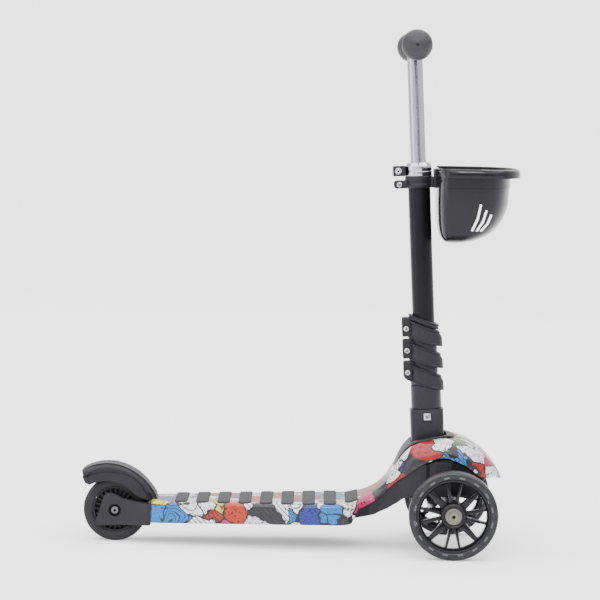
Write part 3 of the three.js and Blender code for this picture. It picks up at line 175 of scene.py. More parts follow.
def rubberBlack(name, level, rough, shine=0.2):
    finish = Finish(name, {"Specular IOR Level": shine})
    cloud = finish.noise(60, 5)
    speckle = finish.noise(2600, 2)
    finish.feed("Base Color", finish.mix(cloud, black(level * 0.75), black(level * 1.35)))
    finish.feed("Roughness", cloud * 0.14 + (rough - 0.05))
    finish.bump(speckle, 0.00015)
    return finish.material


def drawnMetal(name, color, rough, streak=(900, 900, 6)):
    finish = Finish(name, {"Metallic": 1.0})
    mapped = finish.node("ShaderNodeMapping", {}, {"Vector": finish.spot, "Scale": streak})
    lines = finish.noise(1.0, 3, 0.6, mapped)
    cloud = finish.noise(30, 3)
    dark = tuple(value * 0.84 for value in color)
    finish.feed("Base Color", finish.mix(lines, (*dark, 1), (*color, 1)))
    finish.feed("Roughness", lines * 0.08 + cloud * 0.06 + (rough - 0.07))
    finish.bump(lines, 0.00003)
    return finish.material


def printedShell(name):
    # a made-up doodle print: bent patches in bright colours, drawn over with wavy lines, rings and stripes
    look = {
        "patches": 31, "bend": 0.034, "bendScale": 30, "outline": 0.03,
        "waveScale": 62, "waveCount": 13, "ringStep": 46, "stripeStep": 900, "spots": 190,
    }
    finish = Finish(name, {"Coat Weight": 0.22, "Coat Roughness": 0.1, "Specular IOR Level": 0.25})
    wobble = finish.node(
        "ShaderNodeTexNoise", {}, {"Vector": finish.spot, "Scale": look["bendScale"], "Detail": 2.5}, "Color",
    )
    centred = finish.node("ShaderNodeVectorMath", {"operation": "SUBTRACT"}, [wobble, (0.5, 0.5, 0.5)])
    pushed = finish.node(
        "ShaderNodeVectorMath", {"operation": "MULTIPLY_ADD"}, [centred, (look["bend"],) * 3, finish.spot],
    )
    patch = {"Vector": pushed, "Scale": look["patches"], "Randomness": 0.95}
    edge = finish.node("ShaderNodeTexVoronoi", {"feature": "DISTANCE_TO_EDGE"}, patch)
    tint = finish.node("ShaderNodeTexVoronoi", {}, patch, "Color")
    reach = finish.node("ShaderNodeTexVoronoi", {}, patch)
    pick = finish.node("ShaderNodeSeparateColor", {}, [tint], "Red")
    motif = finish.node("ShaderNodeSeparateColor", {}, [tint], "Green")
    inks = finish.node("ShaderNodeValToRGB", {
        "stops": [
            (0.0, (0.7, 0.67, 0.71)), (0.2, (0.24, 0.003, 0.001)), (0.4, (0.32, 0.014, 0.002)),
            (0.52, (0.62, 0.6, 0.64)), (0.68, (0.006, 0.022, 0.2)), (0.75, (0.004, 0.12, 0.38)),
            (0.84, (0.02, 0.085, 0.008)), (0.87, (0.52, 0.38, 0.04)), (0.9, (0.012, 0.012, 0.016)),
            (0.94, (0.32, 0.014, 0.08)),
        ],
        "interpolation": "CONSTANT",
    }, [pick])
    waves = (finish.noise(look["waveScale"], 1.5) * look["waveCount"]).reckon("FRACT")
    fineWaves = (finish.noise(look["waveScale"] * 2.1, 1.5) * look["waveCount"]).reckon("FRACT")
    rings = (reach * look["ringStep"]).reckon("SINE")
    stripes = ((finish.axis("X") + finish.axis("Z")) * look["stripeStep"]).reckon("SINE")
    spots = finish.node("ShaderNodeTexVoronoi", {}, {**patch, "Scale": look["spots"], "Randomness": 1.0})
    drawn = [
        (waves < 0.22) * (motif < 0.62), (fineWaves < 0.2) * (motif > 0.3), (rings > 0.7) * (motif > 0.8),
        (stripes > 0.6) * (motif < 0.16), (spots < 0.3) * (motif > 0.5) * (motif < 0.72),
    ]
    ink = drawn[0]
    for other in drawn[1:]:
        ink = ink.reckon("MAXIMUM", other)
    deep = finish.mix(0.9, inks, (0.004, 0.003, 0.006, 1))
    color = finish.mix(ink, inks, deep)
    color = finish.mix(edge < look["outline"], color, (0.006, 0.006, 0.008, 1))
    finish.feed("Base Color", color)
    finish.feed("Roughness", finish.noise(45, 3) * 0.12 + 0.26)
    finish.bump(finish.noise(700, 2), 0.00005)
    return finish.material


def gripPad(name):
    finish = Finish(name, {"Specular IOR Level": 0.3})
    cloud = finish.noise(70, 4)
    finish.feed("Base Color", finish.mix(cloud, (0.014, 0.0132, 0.0162, 1), (0.026, 0.0245, 0.03, 1)))
    finish.feed("Roughness", cloud * 0.1 + 0.72)
    finish.bump(finish.noise(1500, 3), 0.0003)
    return finish.material


def smokyTyre(name):
    # cloudy dark urethane with a soft sheen outside
    finish = Finish(name, {"Specular IOR Level": 0.25})
    cloud = finish.noise(90, 4)
    finish.feed("Base Color", finish.mix(cloud, (0.005, 0.005, 0.006, 1), (0.02, 0.02, 0.023, 1)))
    finish.feed("Roughness", cloud * 0.16 + 0.22)
    finish.bump(finish.noise(500, 2), 0.00008)
    return finish.material


materials = {
    "print": printedShell("printedShell"),
    "plastic": mouldedBlack("mouldedPlastic", 0.01, 0.42, 0.0, 0.0001, 0.2),
    "cheek": mouldedBlack("forkPlastic", 0.012, 0.48, 0.0, 0.0001, 0.2),
    "column": mouldedBlack("paintedTube", 0.004, 0.3, 0.0, 0.00004, 0.13),
    "gloss": mouldedBlack("glossPlastic", 0.004, 0.2, 0.0, 0.00003, 0.24),
    "pad": gripPad("padRubber"),
    "rubber": rubberBlack("blackRubber", 0.014, 0.6),
    "tread": rubberBlack("fenderTread", 0.03, 0.5),
    "grip": rubberBlack("gripRubber", 0.02, 0.38, 0.24),
    "tyre": rubberBlack("rearTyre", 0.012, 0.5),
    "smoke": smokyTyre("smokyTyre"),
    "steel": drawnMetal("zincSteel", (0.44, 0.44, 0.48), 0.3, (300, 300, 300)),
    "dull": drawnMetal("dullSteel", (0.12, 0.12, 0.135), 0.36, (300, 300, 300)),
    "bearing": drawnMetal("bearingSteel", (0.17, 0.167, 0.135), 0.34, (300, 300, 300)),
    "alloy": drawnMetal("anodisedAlloy", (0.44, 0.425, 0.51), 0.18),
    "mark": drawnMetal("foilMark", (0.1, 0.1, 0.115), 0.5, (300, 300, 300)),
    # painted shade: a near-black material put in bolt recesses, the fork's wells, the basket's inside and the
    # chassis under the shell, where shade falls
    "shade": mouldedBlack("paintedShade", 0.004, 0.5, 0.0, 0.00002, 0.1),
}
print("finishes made")


# modelling helpers


def rounded(path, radius, steps=4, closed=True):
    # replaces each corner of a path by a short arc
    out = []
    count = len(path)
    for k in range(count):
        here = Vector(path[k])
        if not closed and k in (0, count - 1):
            out.append(tuple(here))
            continue
        before = Vector(path[k - 1]) - here
        after = Vector(path[(k + 1) % count]) - here
        reach = min(radius, before.length * 0.45, after.length * 0.45)
        start = here + before.normalized() * reach
        end = here + after.normalized() * reach
        for step in range(steps + 1):
            t = step / steps
            point = start * (1 - t) ** 2 + here * 2 * t * (1 - t) + end * t ** 2
            out.append(tuple(point))
    return out


def oblong(low, high, foot, top):
    # the corners of a rectangle, for slabs and turned rings
    return [(low, foot), (high, foot), (high, top), (low, top)]


def turned(profile, steps=96, bevel=0.0, closed=False):
    # a turned piece about its own Z: profile pairs are radius and height
    points = rounded(profile, bevel, 3, closed) if bevel else profile
    form = bmesh.new()
    rim = [form.verts.new((r * mm, 0, h * mm)) for r, h in points]
    lines = [form.edges.new(pair) for pair in zip(rim, rim[1:])]
    if closed:
        lines.append(form.edges.new((rim[-1], rim[0])))
    bmesh.ops.spin(
        form, geom=rim + lines, cent=(0, 0, 0), axis=(0, 0, 1), angle=math.tau, steps=steps, use_merge=True,
    )
    bmesh.ops.remove_doubles(form, verts=form.verts, dist=0.002 * mm)
    bmesh.ops.dissolve_degenerate(form, edges=form.edges, dist=0.001 * mm)
    bmesh.ops.recalc_face_normals(form, faces=form.faces)
    return form


def slab(outline, depth, bevel=0.5, corner=0.0, segments=2):
    # an outline in X and Z, given thickness along Y about its middle
    points = rounded(outline, corner, 5) if corner else outline
    form = bmesh.new()
    rim = [form.verts.new((x * mm, -depth * mm / 2, z * mm)) for x, z in points]
    face = form.faces.new(rim)
    made = bmesh.ops.extrude_face_region(form, geom=[face])
    far = [item for item in made["geom"] if isinstance(item, bmesh.types.BMVert)]
    bmesh.ops.translate(form, verts=far, vec=(0, depth * mm, 0))
    bmesh.ops.recalc_face_normals(form, faces=form.faces)
    if bevel:
        sharp = [edge for edge in form.edges if edge.calc_face_angle(0) > math.radians(35)]
        bmesh.ops.bevel(
            form, geom=sharp, offset=bevel * mm, segments=segments, profile=0.5, affect="EDGES",
            material=-1, clamp_overlap=True,
        )
    return form


def brick(size, bevel=0.5, centre=(0, 0, 0)):
    form = bmesh.new()
    bmesh.ops.create_cube(form, size=1)
    bmesh.ops.scale(form, verts=form.verts, vec=[value * mm for value in size])
    bmesh.ops.translate(form, verts=form.verts, vec=[value * mm for value in centre])
    if bevel:
        bmesh.ops.bevel(
            form, geom=form.edges, offset=bevel * mm, segments=3, profile=0.5, affect="EDGES", material=-1,
        )
    return form


def sheetOf(columns, rows, shape):
    # a grid whose points go where shape(u, v) says, u and v from 0 to 1
    form = bmesh.new()
    bmesh.ops.create_grid(form, x_segments=columns, y_segments=rows, size=0.5)
    for vert in form.verts:
        vert.co = shape(vert.co.x + 0.5, vert.co.y + 0.5)
    return form


def lookUp(form, way=1):
    # turns an open sheet over unless on the whole its faces look up, or down when way is -1
    if sum(face.normal.z * face.calc_area() for face in form.faces) * way < 0:
        bmesh.ops.reverse_faces(form, faces=form.faces)


def stack(rings, capStart=True, capEnd=True):
    # a tube through rings of points that all have the same count
    form = bmesh.new()
    made = bmesh.ops.create_circle(form, segments=len(rings[0]), radius=1)
    loop = sorted(made["verts"], key=lambda vert: math.atan2(vert.co.y, vert.co.x) % math.tau)
    for vert, point in zip(loop, rings[0]):
        vert.co = point
    first = loop
    for ring in rings[1:]:
        lines = [form.edges.get((loop[k - 1], loop[k])) for k in range(len(loop))]
        grown = bmesh.ops.extrude_edge_only(form, edges=lines)
        fresh = [item for item in grown["geom"] if isinstance(item, bmesh.types.BMVert)]
        partner = {}
        for vert in fresh:
            for line in vert.link_edges:
                other = line.other_vert(vert)
                if other not in fresh:
                    partner[other] = vert
        loop = [partner[vert] for vert in loop]
        for vert, point in zip(loop, ring):
            vert.co = point
    for wanted, ends in ((capStart, first), (capEnd, loop)):
        if wanted:
            form.faces.new(ends)
    bmesh.ops.recalc_face_normals(form, faces=form.faces)
    return form


def gather(*items):
    # several forms, each with the matrix that places it, in one
    whole = bmesh.new()
    for form, place in items:
        form.transform(place)
        spare = bpy.data.meshes.new("spare")
        form.to_mesh(spare)
        form.free()
        whole.from_mesh(spare)
        bpy.data.meshes.remove(spare)
    return whole


def finishPiece(name, form, body, finish, nodes=(), place=None, sharp=32):
    if place is not None:
        form.transform(place)
    mesh = bpy.data.meshes.new(name)
    form.to_mesh(mesh)
    form.free()
    piece = bpy.data.objects.new(name, mesh)
    bpy.context.scene.collection.objects.link(piece)
    mesh.materials.append(materials[finish])
    mesh.polygons.foreach_set("use_smooth", [True] * len(mesh.polygons))
    mesh.set_sharp_from_angle(angle=math.radians(sharp))
    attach(piece, body)
    if nodes:
        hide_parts(*nodes)
    return piece


def thicken(piece, wall, offset=-1.0, inner=None, even=True):
    solid = piece.modifiers.new("wall", "SOLIDIFY")
    solid.thickness = wall * mm
    solid.offset = offset
    solid.use_even_offset = even
    if inner:
        piece.data.materials.append(materials[inner])
        solid.material_offset = 1
        solid.material_offset_rim = 0
    return piece


def settle(piece):
    # replaces the piece's mesh by what its modifiers make of it
    graph = bpy.context.evaluated_depsgraph_get()
    solid = bpy.data.meshes.new_from_object(piece.evaluated_get(graph))
    old = piece.data
    piece.modifiers.clear()
    piece.data = solid
    bpy.data.meshes.remove(old)
    solid.polygons.foreach_set("use_smooth", [True] * len(solid.polygons))
    solid.set_sharp_from_angle(angle=math.radians(32))
    return piece


def cutBy(piece, cutter, finish=None):
    # takes the cutter's space out of the piece; the new faces may get a material of their own, as the fork's
    # wells get painted shade
    mesh = bpy.data.meshes.new("cutter")
    cutter.to_mesh(mesh)
    cutter.free()
    if finish:
        mesh.materials.append(materials[finish])
    tool = bpy.data.objects.new("cutter", mesh)
    bpy.context.scene.collection.objects.link(tool)
    cut = piece.modifiers.new("cut", "BOOLEAN")
    cut.operation = "DIFFERENCE"
    cut.solver = "EXACT"
    cut.material_mode = "TRANSFER" if finish else "INDEX"
    cut.object = tool
    settle(piece)
    bpy.data.objects.remove(tool)
    bpy.data.meshes.remove(mesh)
    return piece


def along(table, x):
    # a smooth value between the rows of a table of pairs
    if x <= table[0][0]:
        return table[0][1]
    if x >= table[-1][0]:
        return table[-1][1]
    k = next(i for i in range(1, len(table)) if table[i][0] >= x)
    slopes = []
    for i in (k - 1, k):
        low = table[max(i - 1, 0)]
        high = table[min(i + 1, len(table) - 1)]
        slopes.append((high[1] - low[1]) / (high[0] - low[0]))
    span = table[k][0] - table[k - 1][0]
    t = (x - table[k - 1][0]) / span
    rise = t * t * (3 - 2 * t)
    bend = slopes[0] * t * (1 - t) ** 2 - slopes[1] * t * t * (1 - t)
    return table[k - 1][1] * (1 - rise) + table[k][1] * rise + bend * span


# camera, light and floor

photo = {"distance": 4000, "lens": 175.2, "eye": (271.7, 626.5), "aim": (248.2, 337.1), "roll": 1.21}


def makeCamera():
    camera = bpy.data.cameras.new("camera")
    camera.lens = photo["lens"]
    camera.sensor_width = 36
    camera.clip_end = 300
    seen = bpy.data.objects.new("camera", camera)
    bpy.context.scene.collection.objects.link(seen)
    eye = groundFrame @ Vector((photo["eye"][0] * mm, -photo["distance"] * mm, photo["eye"][1] * mm))
    aim = groundFrame @ Vector((photo["aim"][0] * mm, 0, photo["aim"][1] * mm))
    turn = (aim - eye).to_track_quat("-Z", "Y").to_matrix().to_4x4()
    roll = Matrix.Rotation(math.radians(photo["roll"]), 4, "Z")
    seen.matrix_world = Matrix.Translation(eye) @ turn @ roll
    bpy.context.scene.camera = seen


studio = {
    "floor": 0.8, "floorGlow": 0.44, "sky": 3.0, "ambient": 0.3, "mirrored": 1.6,
    "bandTurn": 0.24, "bandHalf": 0.55, "bandDark": 0.05, "sun": 9.6, "sunWidth": 110,
}


def addLamp(name, kind, power, tint=(1, 1, 1)):
    light = bpy.data.lights.new(name, kind)
    light.energy = power
    light.color = tint
    lamp = bpy.data.objects.new(name, light)
    bpy.context.scene.collection.objects.link(lamp)
    return lamp


def makeStrip(name, place, aim, size, power):
    lamp = addLamp(name, "AREA", power)
    lamp.data.shape = "RECTANGLE"
    lamp.data.size, lamp.data.size_y = size
    turn = (Vector(aim) - Vector(place)).to_track_quat("-Z", "Y").to_matrix().to_4x4()
    lamp.matrix_world = Matrix.Translation(place) @ turn
    lamp.visible_camera = False


def makeStage():
    ground = bmesh.new()
    bmesh.ops.create_grid(ground, x_segments=1, y_segments=1, size=140)
    mesh = bpy.data.meshes.new("floor")
    ground.to_mesh(mesh)
    ground.free()
    floor = bpy.data.objects.new("floor", mesh)
    bpy.context.scene.collection.objects.link(floor)
    pale = (studio["floor"],) * 3
    white = Finish("paleFloor", {
        "Base Color": (*pale, 1), "Roughness": 0.9, "Specular IOR Level": 0.0,
        "Emission Color": (1, 1, 1, 1), "Emission Strength": studio["floorGlow"],
    })
    mesh.materials.append(white.material)
    world = bpy.data.worlds.new("studio")
    world.use_nodes = True
    sheet = Sheet(world.node_tree)
    sheet.tree.nodes.remove(sheet.tree.nodes["Background"])

    def glow(strength):
        return sheet.node("ShaderNodeBackground", {}, {"Color": (1, 1, 1, 1), "Strength": strength})

    # mirrors see a dark upright band to the right of the camera, as bright metal does in the photo
    spot = sheet.node("ShaderNodeNewGeometry", {}, [], "Position")
    across, ahead = (sheet.node("ShaderNodeSeparateXYZ", {}, [spot], name) for name in "XY")
    turn = across.reckon("ARCTAN2", ahead * -1.0)
    off = turn.reckon("SUBTRACT", studio["bandTurn"]).reckon("ABSOLUTE").reckon("DIVIDE", studio["bandHalf"])
    share = off.reckon("MINIMUM", 1.0).reckon("POWER", 2.0)
    mirrored = glow(share * (studio["mirrored"] - studio["bandDark"]) + studio["bandDark"])
    light = glow(studio["ambient"])
    for ray, other in (("Is Glossy Ray", mirrored), ("Is Camera Ray", glow(studio["sky"]))):
        seen = sheet.node("ShaderNodeLightPath", {}, [], ray)
        light = sheet.node("ShaderNodeMixShader", {}, [seen, light, other])
    sheet.tree.links.new(light.socket, sheet.tree.nodes["World Output"].inputs["Surface"])
    bpy.context.scene.world = world
    sun = addLamp("softSun", "SUN", studio["sun"])
    sun.data.angle = math.radians(studio["sunWidth"])
    sun.matrix_world = Matrix.Translation((0, 0, 3)) @ Matrix.Rotation(math.radians(20), 4, "X")
    makeStrip("leftSheet", (-2.6, -0.9, 0.9), (0.1, 0, 0.3), (1.5, 1.6), 17)
    makeStrip("backSheet", (0.1, 3.4, 3.0), (0.1, 0, 0.5), (5.0, 1.6), 80)
    makeStrip("topBox", (0.2, -2.6, 2.1), (0.24, -0.05, 0.55), (0.5, 0.26), 30)


makeCamera()
makeStage()
print("camera and stage made")

# printed shell and its trim

shell = {
    "rear": 51, "nose": 528.7, "wall": 3, "columns": 260, "rows": 72,
    "halfWidth": [
        (51, 38), (70, 43), (106, 49), (160, 55), (220, 62), (282, 68), (318, 64), (330, 56), (345, 47),
        (360, 44), (372, 45), (381, 48), (390, 52), (398, 57), (408, 62), (425, 68), (450, 71), (468, 71),
        (487, 67), (506, 57), (519, 42), (526, 27), (528.7, 18),
    ],
    "top": [
        (51, 59.5), (318, 65), (330, 68.5), (345, 74.8), (360, 83.5), (372, 95), (381, 110), (390, 126.5),
        (398, 137.5), (408, 146), (425, 150.5), (450, 154.5), (468, 152), (487, 145.5), (506, 132),
        (519, 118), (526, 107), (528.7, 101.6),
    ],
    "edge": [
        (51, 30), (106, 31.7), (283, 36), (324, 37.5), (329, 46), (333, 56), (342, 60), (358, 69.6),
        (374, 85), (386, 96.5), (404.5, 109.8), (422.8, 123), (447.4, 131.5), (468, 126), (483.5, 117.8),
        (496, 108), (508, 104), (521, 104), (528.7, 99),
    ],
    "corner": [(51, 6), (318, 7), (360, 14), (400, 26), (450, 32), (500, 30), (528.7, 9)],
    "crown": 1.0,
}


def shellPoint(x, v, grow=0.0, drop=None):
    # a point of the shell's cross-section: v runs from the right lower edge over the top to the left
    half = along(shell["halfWidth"], x) + grow
    top = along(shell["top"], x) + grow
    low = along(shell["edge"], x) if drop is None else drop
    corner = max(min(along(shell["corner"], x) + grow, half * 0.8, (top - low) * 0.9), 0.5)
    upright = top - corner - low
    arc = corner * math.pi / 2
    flat = half - corner
    side = -1 if v < 0.5 else 1
    share = 1 - abs(v - 0.5) * 2
    stops = (0.3, 0.62)
    if share < stops[0]:
        y, z = half, low + upright * share / stops[0]
    elif share < stops[1]:
        turn = (share - stops[0]) / (stops[1] - stops[0]) * math.pi / 2
        y, z = flat + corner * math.cos(turn), top - corner + corner * math.sin(turn)
    else:
        y, z = flat * (1 - (share - stops[1]) / (1 - stops[1])), top
    z += shell["crown"] * (1 - min(y / half, 1) ** 2)
    return Vector((x * mm, side * y * mm, z * mm))


def shellRise(x, y, grow=0.0):
    # the shell's height at a point of the plan
    half = along(shell["halfWidth"], x) + grow
    top = along(shell["top"], x) + grow
    corner = min(along(shell["corner"], x) + grow, half * 0.8)
    over = abs(y) - (half - corner)
    if over > 0:
        top -= corner - math.sqrt(max(corner ** 2 - over ** 2, 0))
    return top + shell["crown"] * (1 - min(abs(y) / half, 1) ** 2)


def makeShell():
    span = shell["nose"] - shell["rear"]
    form = sheetOf(shell["columns"], shell["rows"], lambda u, v: shellPoint(shell["rear"] + u * span, v))
    slot = {"rear": 397, "front": 457, "half": 36}
    under = [
        face for face in form.faces
        if slot["rear"] < face.calc_center_median().x / mm < slot["front"]
        and abs(face.calc_center_median().y) / mm < slot["half"] and face.normal.z > 0.3
    ]
    bmesh.ops.delete(form, geom=under, context="FACES")
    bmesh.ops.recalc_face_normals(form, faces=form.faces)
    lookUp(form)
    piece = finishPiece("shell", form, "deck", "print", ["deck_shell"], groundFrame)
    return thicken(piece, shell["wall"], -1.0, "plastic")


makeShell()
print("shell made")


def makeTrim():
    # raised black oval round the steering slot
    trim = {
        "rim": (381, 465, 43, 2.56), "slot": (404, 453, 33.6, 6), "sink": 4,
        "rows": [
            (0.0, 0.3), (0.02, 1.6), (0.08, 2.5), (0.2, 2.9), (0.4, 3.0), (0.7, 3.0), (0.94, 2.9), (1.0, 2.4),
            (1.0, 0.3),
        ],
    }
    count = 120

    def loopPoint(k, low, high, half, power):
        # a rounded rectangle walked by angle
        angle = math.tau * k / count
        middle = (low + high) / 2
        reach = (high - low) / 2
        c, s = math.cos(angle), math.sin(angle)
        scale = (abs(c) ** power + abs(s) ** power) ** (-1 / power)
        return middle + reach * c * scale, half * s * scale

    rings = []
    for share, grow in trim["rows"]:
        ring = []
        for k in range(count):
            outer, inner = (Vector(loopPoint(k, *size)) for size in (trim["rim"], trim["slot"]))
            x, y = outer + (inner - outer) * share
            ring.append(Vector((x, y, shellRise(x, y, grow))) * mm)
        rings.append(ring)
    rings.append([point - Vector((0, 0, trim["sink"] * mm)) for point in rings[-1]])
    form = stack(rings, False, False)
    lookUp(form)
    piece = finishPiece("slotTrim", form, "deck", "plastic", ["slot_trim"], groundFrame)
    return thicken(piece, 0.8, -1.0)


makeTrim()

# grip pads

pads = {
    "count": 9, "first": 91.7, "pitch": 29.05, "length": 17.6, "margin": 2, "proud": 1.9, "corner": 5.5,
    "edge": 1.1, "ribs": 5, "ribDepth": 0.18,
}


def makePad(index):
    middle = pads["first"] + index * pads["pitch"]
    low, high = middle - pads["length"] / 2, middle + pads["length"] / 2
    half = min(along(shell["halfWidth"], low), along(shell["halfWidth"], high)) - pads["margin"]
    reach = pads["length"] / 2
    columns, rows = 44, 96

    def shape(u, v):
        x = middle + (u - 0.5) * 2 * reach
        y = (v - 0.5) * 2 * half
        # round the plan's corners by drawing them in
        overX = max(abs(x - middle) - (reach - pads["corner"]), 0)
        overY = max(abs(y) - (half - pads["corner"]), 0)
        out = math.hypot(overX, overY)
        if out > pads["corner"]:
            shrink = pads["corner"] / out
            x = middle + math.copysign(reach - pads["corner"] + overX * shrink, x - middle)
            y = math.copysign(half - pads["corner"] + overY * shrink, y)
        rim = min(reach - abs(x - middle), half - abs(y), pads["corner"] - min(out, pads["corner"]))
        edge = min(max(rim / pads["edge"], 0), 1)
        rise = pads["proud"] * math.sqrt(1 - (1 - edge) ** 2)
        wave = math.cos((x - middle) / pads["length"] * math.tau * pads["ribs"])
        rise -= pads["ribDepth"] * (1 - wave) * edge
        return Vector((x, y, shellRise(x, y) + 0.05 + rise)) * mm

    form = sheetOf(columns, rows, shape)
    name = f"gripPad{index + 1}"
    piece = finishPiece(name, form, "deck", "pad", [f"deck_pad_{index + 1}"], groundFrame, 40)
    return thicken(piece, 0.4, -1.0, None, False)


for index in range(pads["count"]):
    makePad(index)
print("pads made")

# lower chassis

chassis = {
    "rear": 76, "front": 508, "inset": 3.5, "shadeFrom": 404, "wall": 1.2, "columns": 220, "rows": 40,
    "bottom": [
        (76, 32), (318, 38.3), (329.8, 44), (342.5, 45.5), (356, 49), (375, 57.5), (387, 66.5), (396, 72.5),
        (404, 76.5), (414, 78.2), (460, 78.2), (486, 78.2), (494, 86), (504, 100), (509, 108),
    ],
    "rise": [(76, 12), (318, 12), (330, 26), (350, 26), (400, 34), (450, 52), (490, 36), (508, 12)],
}


def makeChassis():
    span = chassis["front"] - chassis["rear"]

    def shape(u, v):
        x = chassis["rear"] + u * span
        half = along(shell["halfWidth"], x) - chassis["inset"]
        low = along(chassis["bottom"], x)
        ceiling = along(shell["top"], x) - shell["wall"] - 2
        high = min(low + along(chassis["rise"], x), ceiling)
        corner = min(5, half * 0.5)
        side = -1 if v < 0.5 else 1
        share = 1 - abs(v - 0.5) * 2
        if share < 0.4:
            y, z = half, high + (low + corner - high) * share / 0.4
        elif share < 0.6:
            turn = (share - 0.4) / 0.2 * math.pi / 2
            y, z = half - corner + corner * math.cos(turn), low + corner - corner * math.sin(turn)
        else:
            y, z = (half - corner) * (1 - (share - 0.6) / 0.4), low
        return Vector((x * mm, side * y * mm, z * mm))

    form = sheetOf(chassis["columns"], chassis["rows"], shape)
    lookUp(form, -1)
    # the chassis skin's front part, under the shell's overhang, takes painted shade
    for face in form.faces:
        if face.calc_center_median().x > chassis["shadeFrom"] * mm:
            face.material_index = 1
    piece = finishPiece("chassisSkin", form, "deck", "plastic", [], groundFrame)
    piece.data.materials.append(materials["shade"])
    return thicken(piece, chassis["wall"], -1.0)


makeChassis()
print("chassis made")


# wheels

rearTyre = {"radius": 44, "inner": 31.2, "half": 12, "shoulder": 5}
frontTyre = {
    "radius": 60, "inner": 50.2, "half": 12, "shoulder": 4.5,
    "markRing": 52.6, "marks": 16, "mark": (7.5, 2.4),
}
frontRim = {"outer": 50, "inner": 44.6, "lip": 46.8, "half": 11.5}
frontHub = {"radius": 17.8, "step": 13.2, "half": 12, "boreRadius": 11.2, "cover": 15.6}
spokes = {"thick": 6.4, "thin": 3.1, "fan": 12, "depth": 12}


def tyreForm(size):
    outer, inner, half, bend = size["radius"], size["inner"], size["half"], size["shoulder"]
    profile = [(inner, -half + 0.6)]
    profile.append((inner + 1.2, -half))
    for step in range(9):
        angle = -math.pi / 2 + step / 8 * math.pi / 2
        profile.append((outer - bend + bend * math.cos(angle), -half + bend + bend * math.sin(angle)))
    for step in range(9):
        angle = step / 8 * math.pi / 2
        profile.append((outer - bend + bend * math.cos(angle), half - bend + bend * math.sin(angle)))
    profile.append((inner + 1.2, half))
    profile.append((inner, half - 0.6))
    return turned(profile, 160, closed=True)


def spokeForm(width, reach, depth):
    # a tapered bar from the hub to the rim
    inner = frontHub["radius"] - 2
    outline = [(inner, -width * 0.8), (reach, -width * 0.45), (reach, width * 0.45), (inner, width * 0.8)]
    return slab(outline, depth, 0.7)


def frontCoreForm():
    rim = turned([
        (frontRim["lip"], -frontRim["half"]), (frontRim["outer"], -frontRim["half"]),
        (frontRim["outer"], frontRim["half"]), (frontRim["lip"], frontRim["half"]),
        (frontRim["inner"], frontRim["half"] - 4.4), (frontRim["inner"], 4.4 - frontRim["half"]),
    ], 144, 0.6, True)
    half = frontHub["half"]
    bore, step, cover, outer = (frontHub[key] for key in ("boreRadius", "step", "cover", "radius"))
    hub = turned([
        (bore, -half + 7.6), (bore, -half + 0.6), (step, -half + 0.6), (step + 0.8, -half), (cover, -half),
        (outer, -half + 2.4), (outer, half - 2.4), (cover, half), (step + 0.8, half), (step, half - 0.6),
        (bore, half - 0.6), (bore, half - 7.6),
    ], 96, 0.5, True)
    items = [(rim, alongY), (hub, alongY)]
    for quarter in range(4):
        fan, thin = spokes["fan"], spokes["thin"]
        for offset, width in ((-fan, thin), (fan, thin), (45, spokes["thick"])):
            turn = Matrix.Rotation(math.radians(quarter * 90 + offset), 4, "Y")
            items.append((spokeForm(width, frontRim["inner"] + 1, spokes["depth"]), turn))
    return gather(*items)


def bearingForm():
    half, width = 11.5, 7
    items = []
    for side in (-1, 1):
        far = side * half
        near = side * (half - width)
        outer = turned(oblong(9.6, 11, near, far), 72, 0.25, True)
        shield = turned(oblong(6.2, 9.5, near, far - side * 0.4), 72, 0.1, True)
        race = turned(oblong(4.3, 6.1, near, far), 72, 0.2, True)
        items += [(outer, alongY), (shield, alongY), (race, alongY)]
    spacer = turned(oblong(4.4, 6, -4.4, 4.4), 48, 0, True)
    items.append((spacer, alongY))
    return gather(*items)


def socketHead(radius, height, face, socket=2.5, dome=0.5):
    # a round head with a hexagon recess, looking along +Z; the recess's faces take the second material,
    # painted shade
    top, floor, reach = face + height, face + height * 0.4, socket * 1.15
    form = turned([
        (0, face), (radius, face), (radius, top - dome), (radius - dome, top), (reach, top), (reach, floor),
        (0, floor),
    ], 48, 0.15)
    for vert in form.verts:
        if vert.co.xy.length < (reach + 0.3) * mm and vert.co.z > (floor - 0.1) * mm:
            turn = math.atan2(vert.co.y, vert.co.x) % (math.pi / 3) - math.pi / 6
            vert.co.xy *= math.cos(math.pi / 6) / math.cos(turn)
    for part in form.faces:
        middle = part.calc_center_median()
        inside = middle.xy.length < reach * mm and middle.z > (floor - 0.1) * mm
        part.material_index = 1 if inside else 0
    return form


def finishHead(*settings):
    # a bolt head's piece, with painted shade as the material of its recess
    piece = finishPiece(*settings)
    piece.data.materials.append(materials["shade"])
    return piece


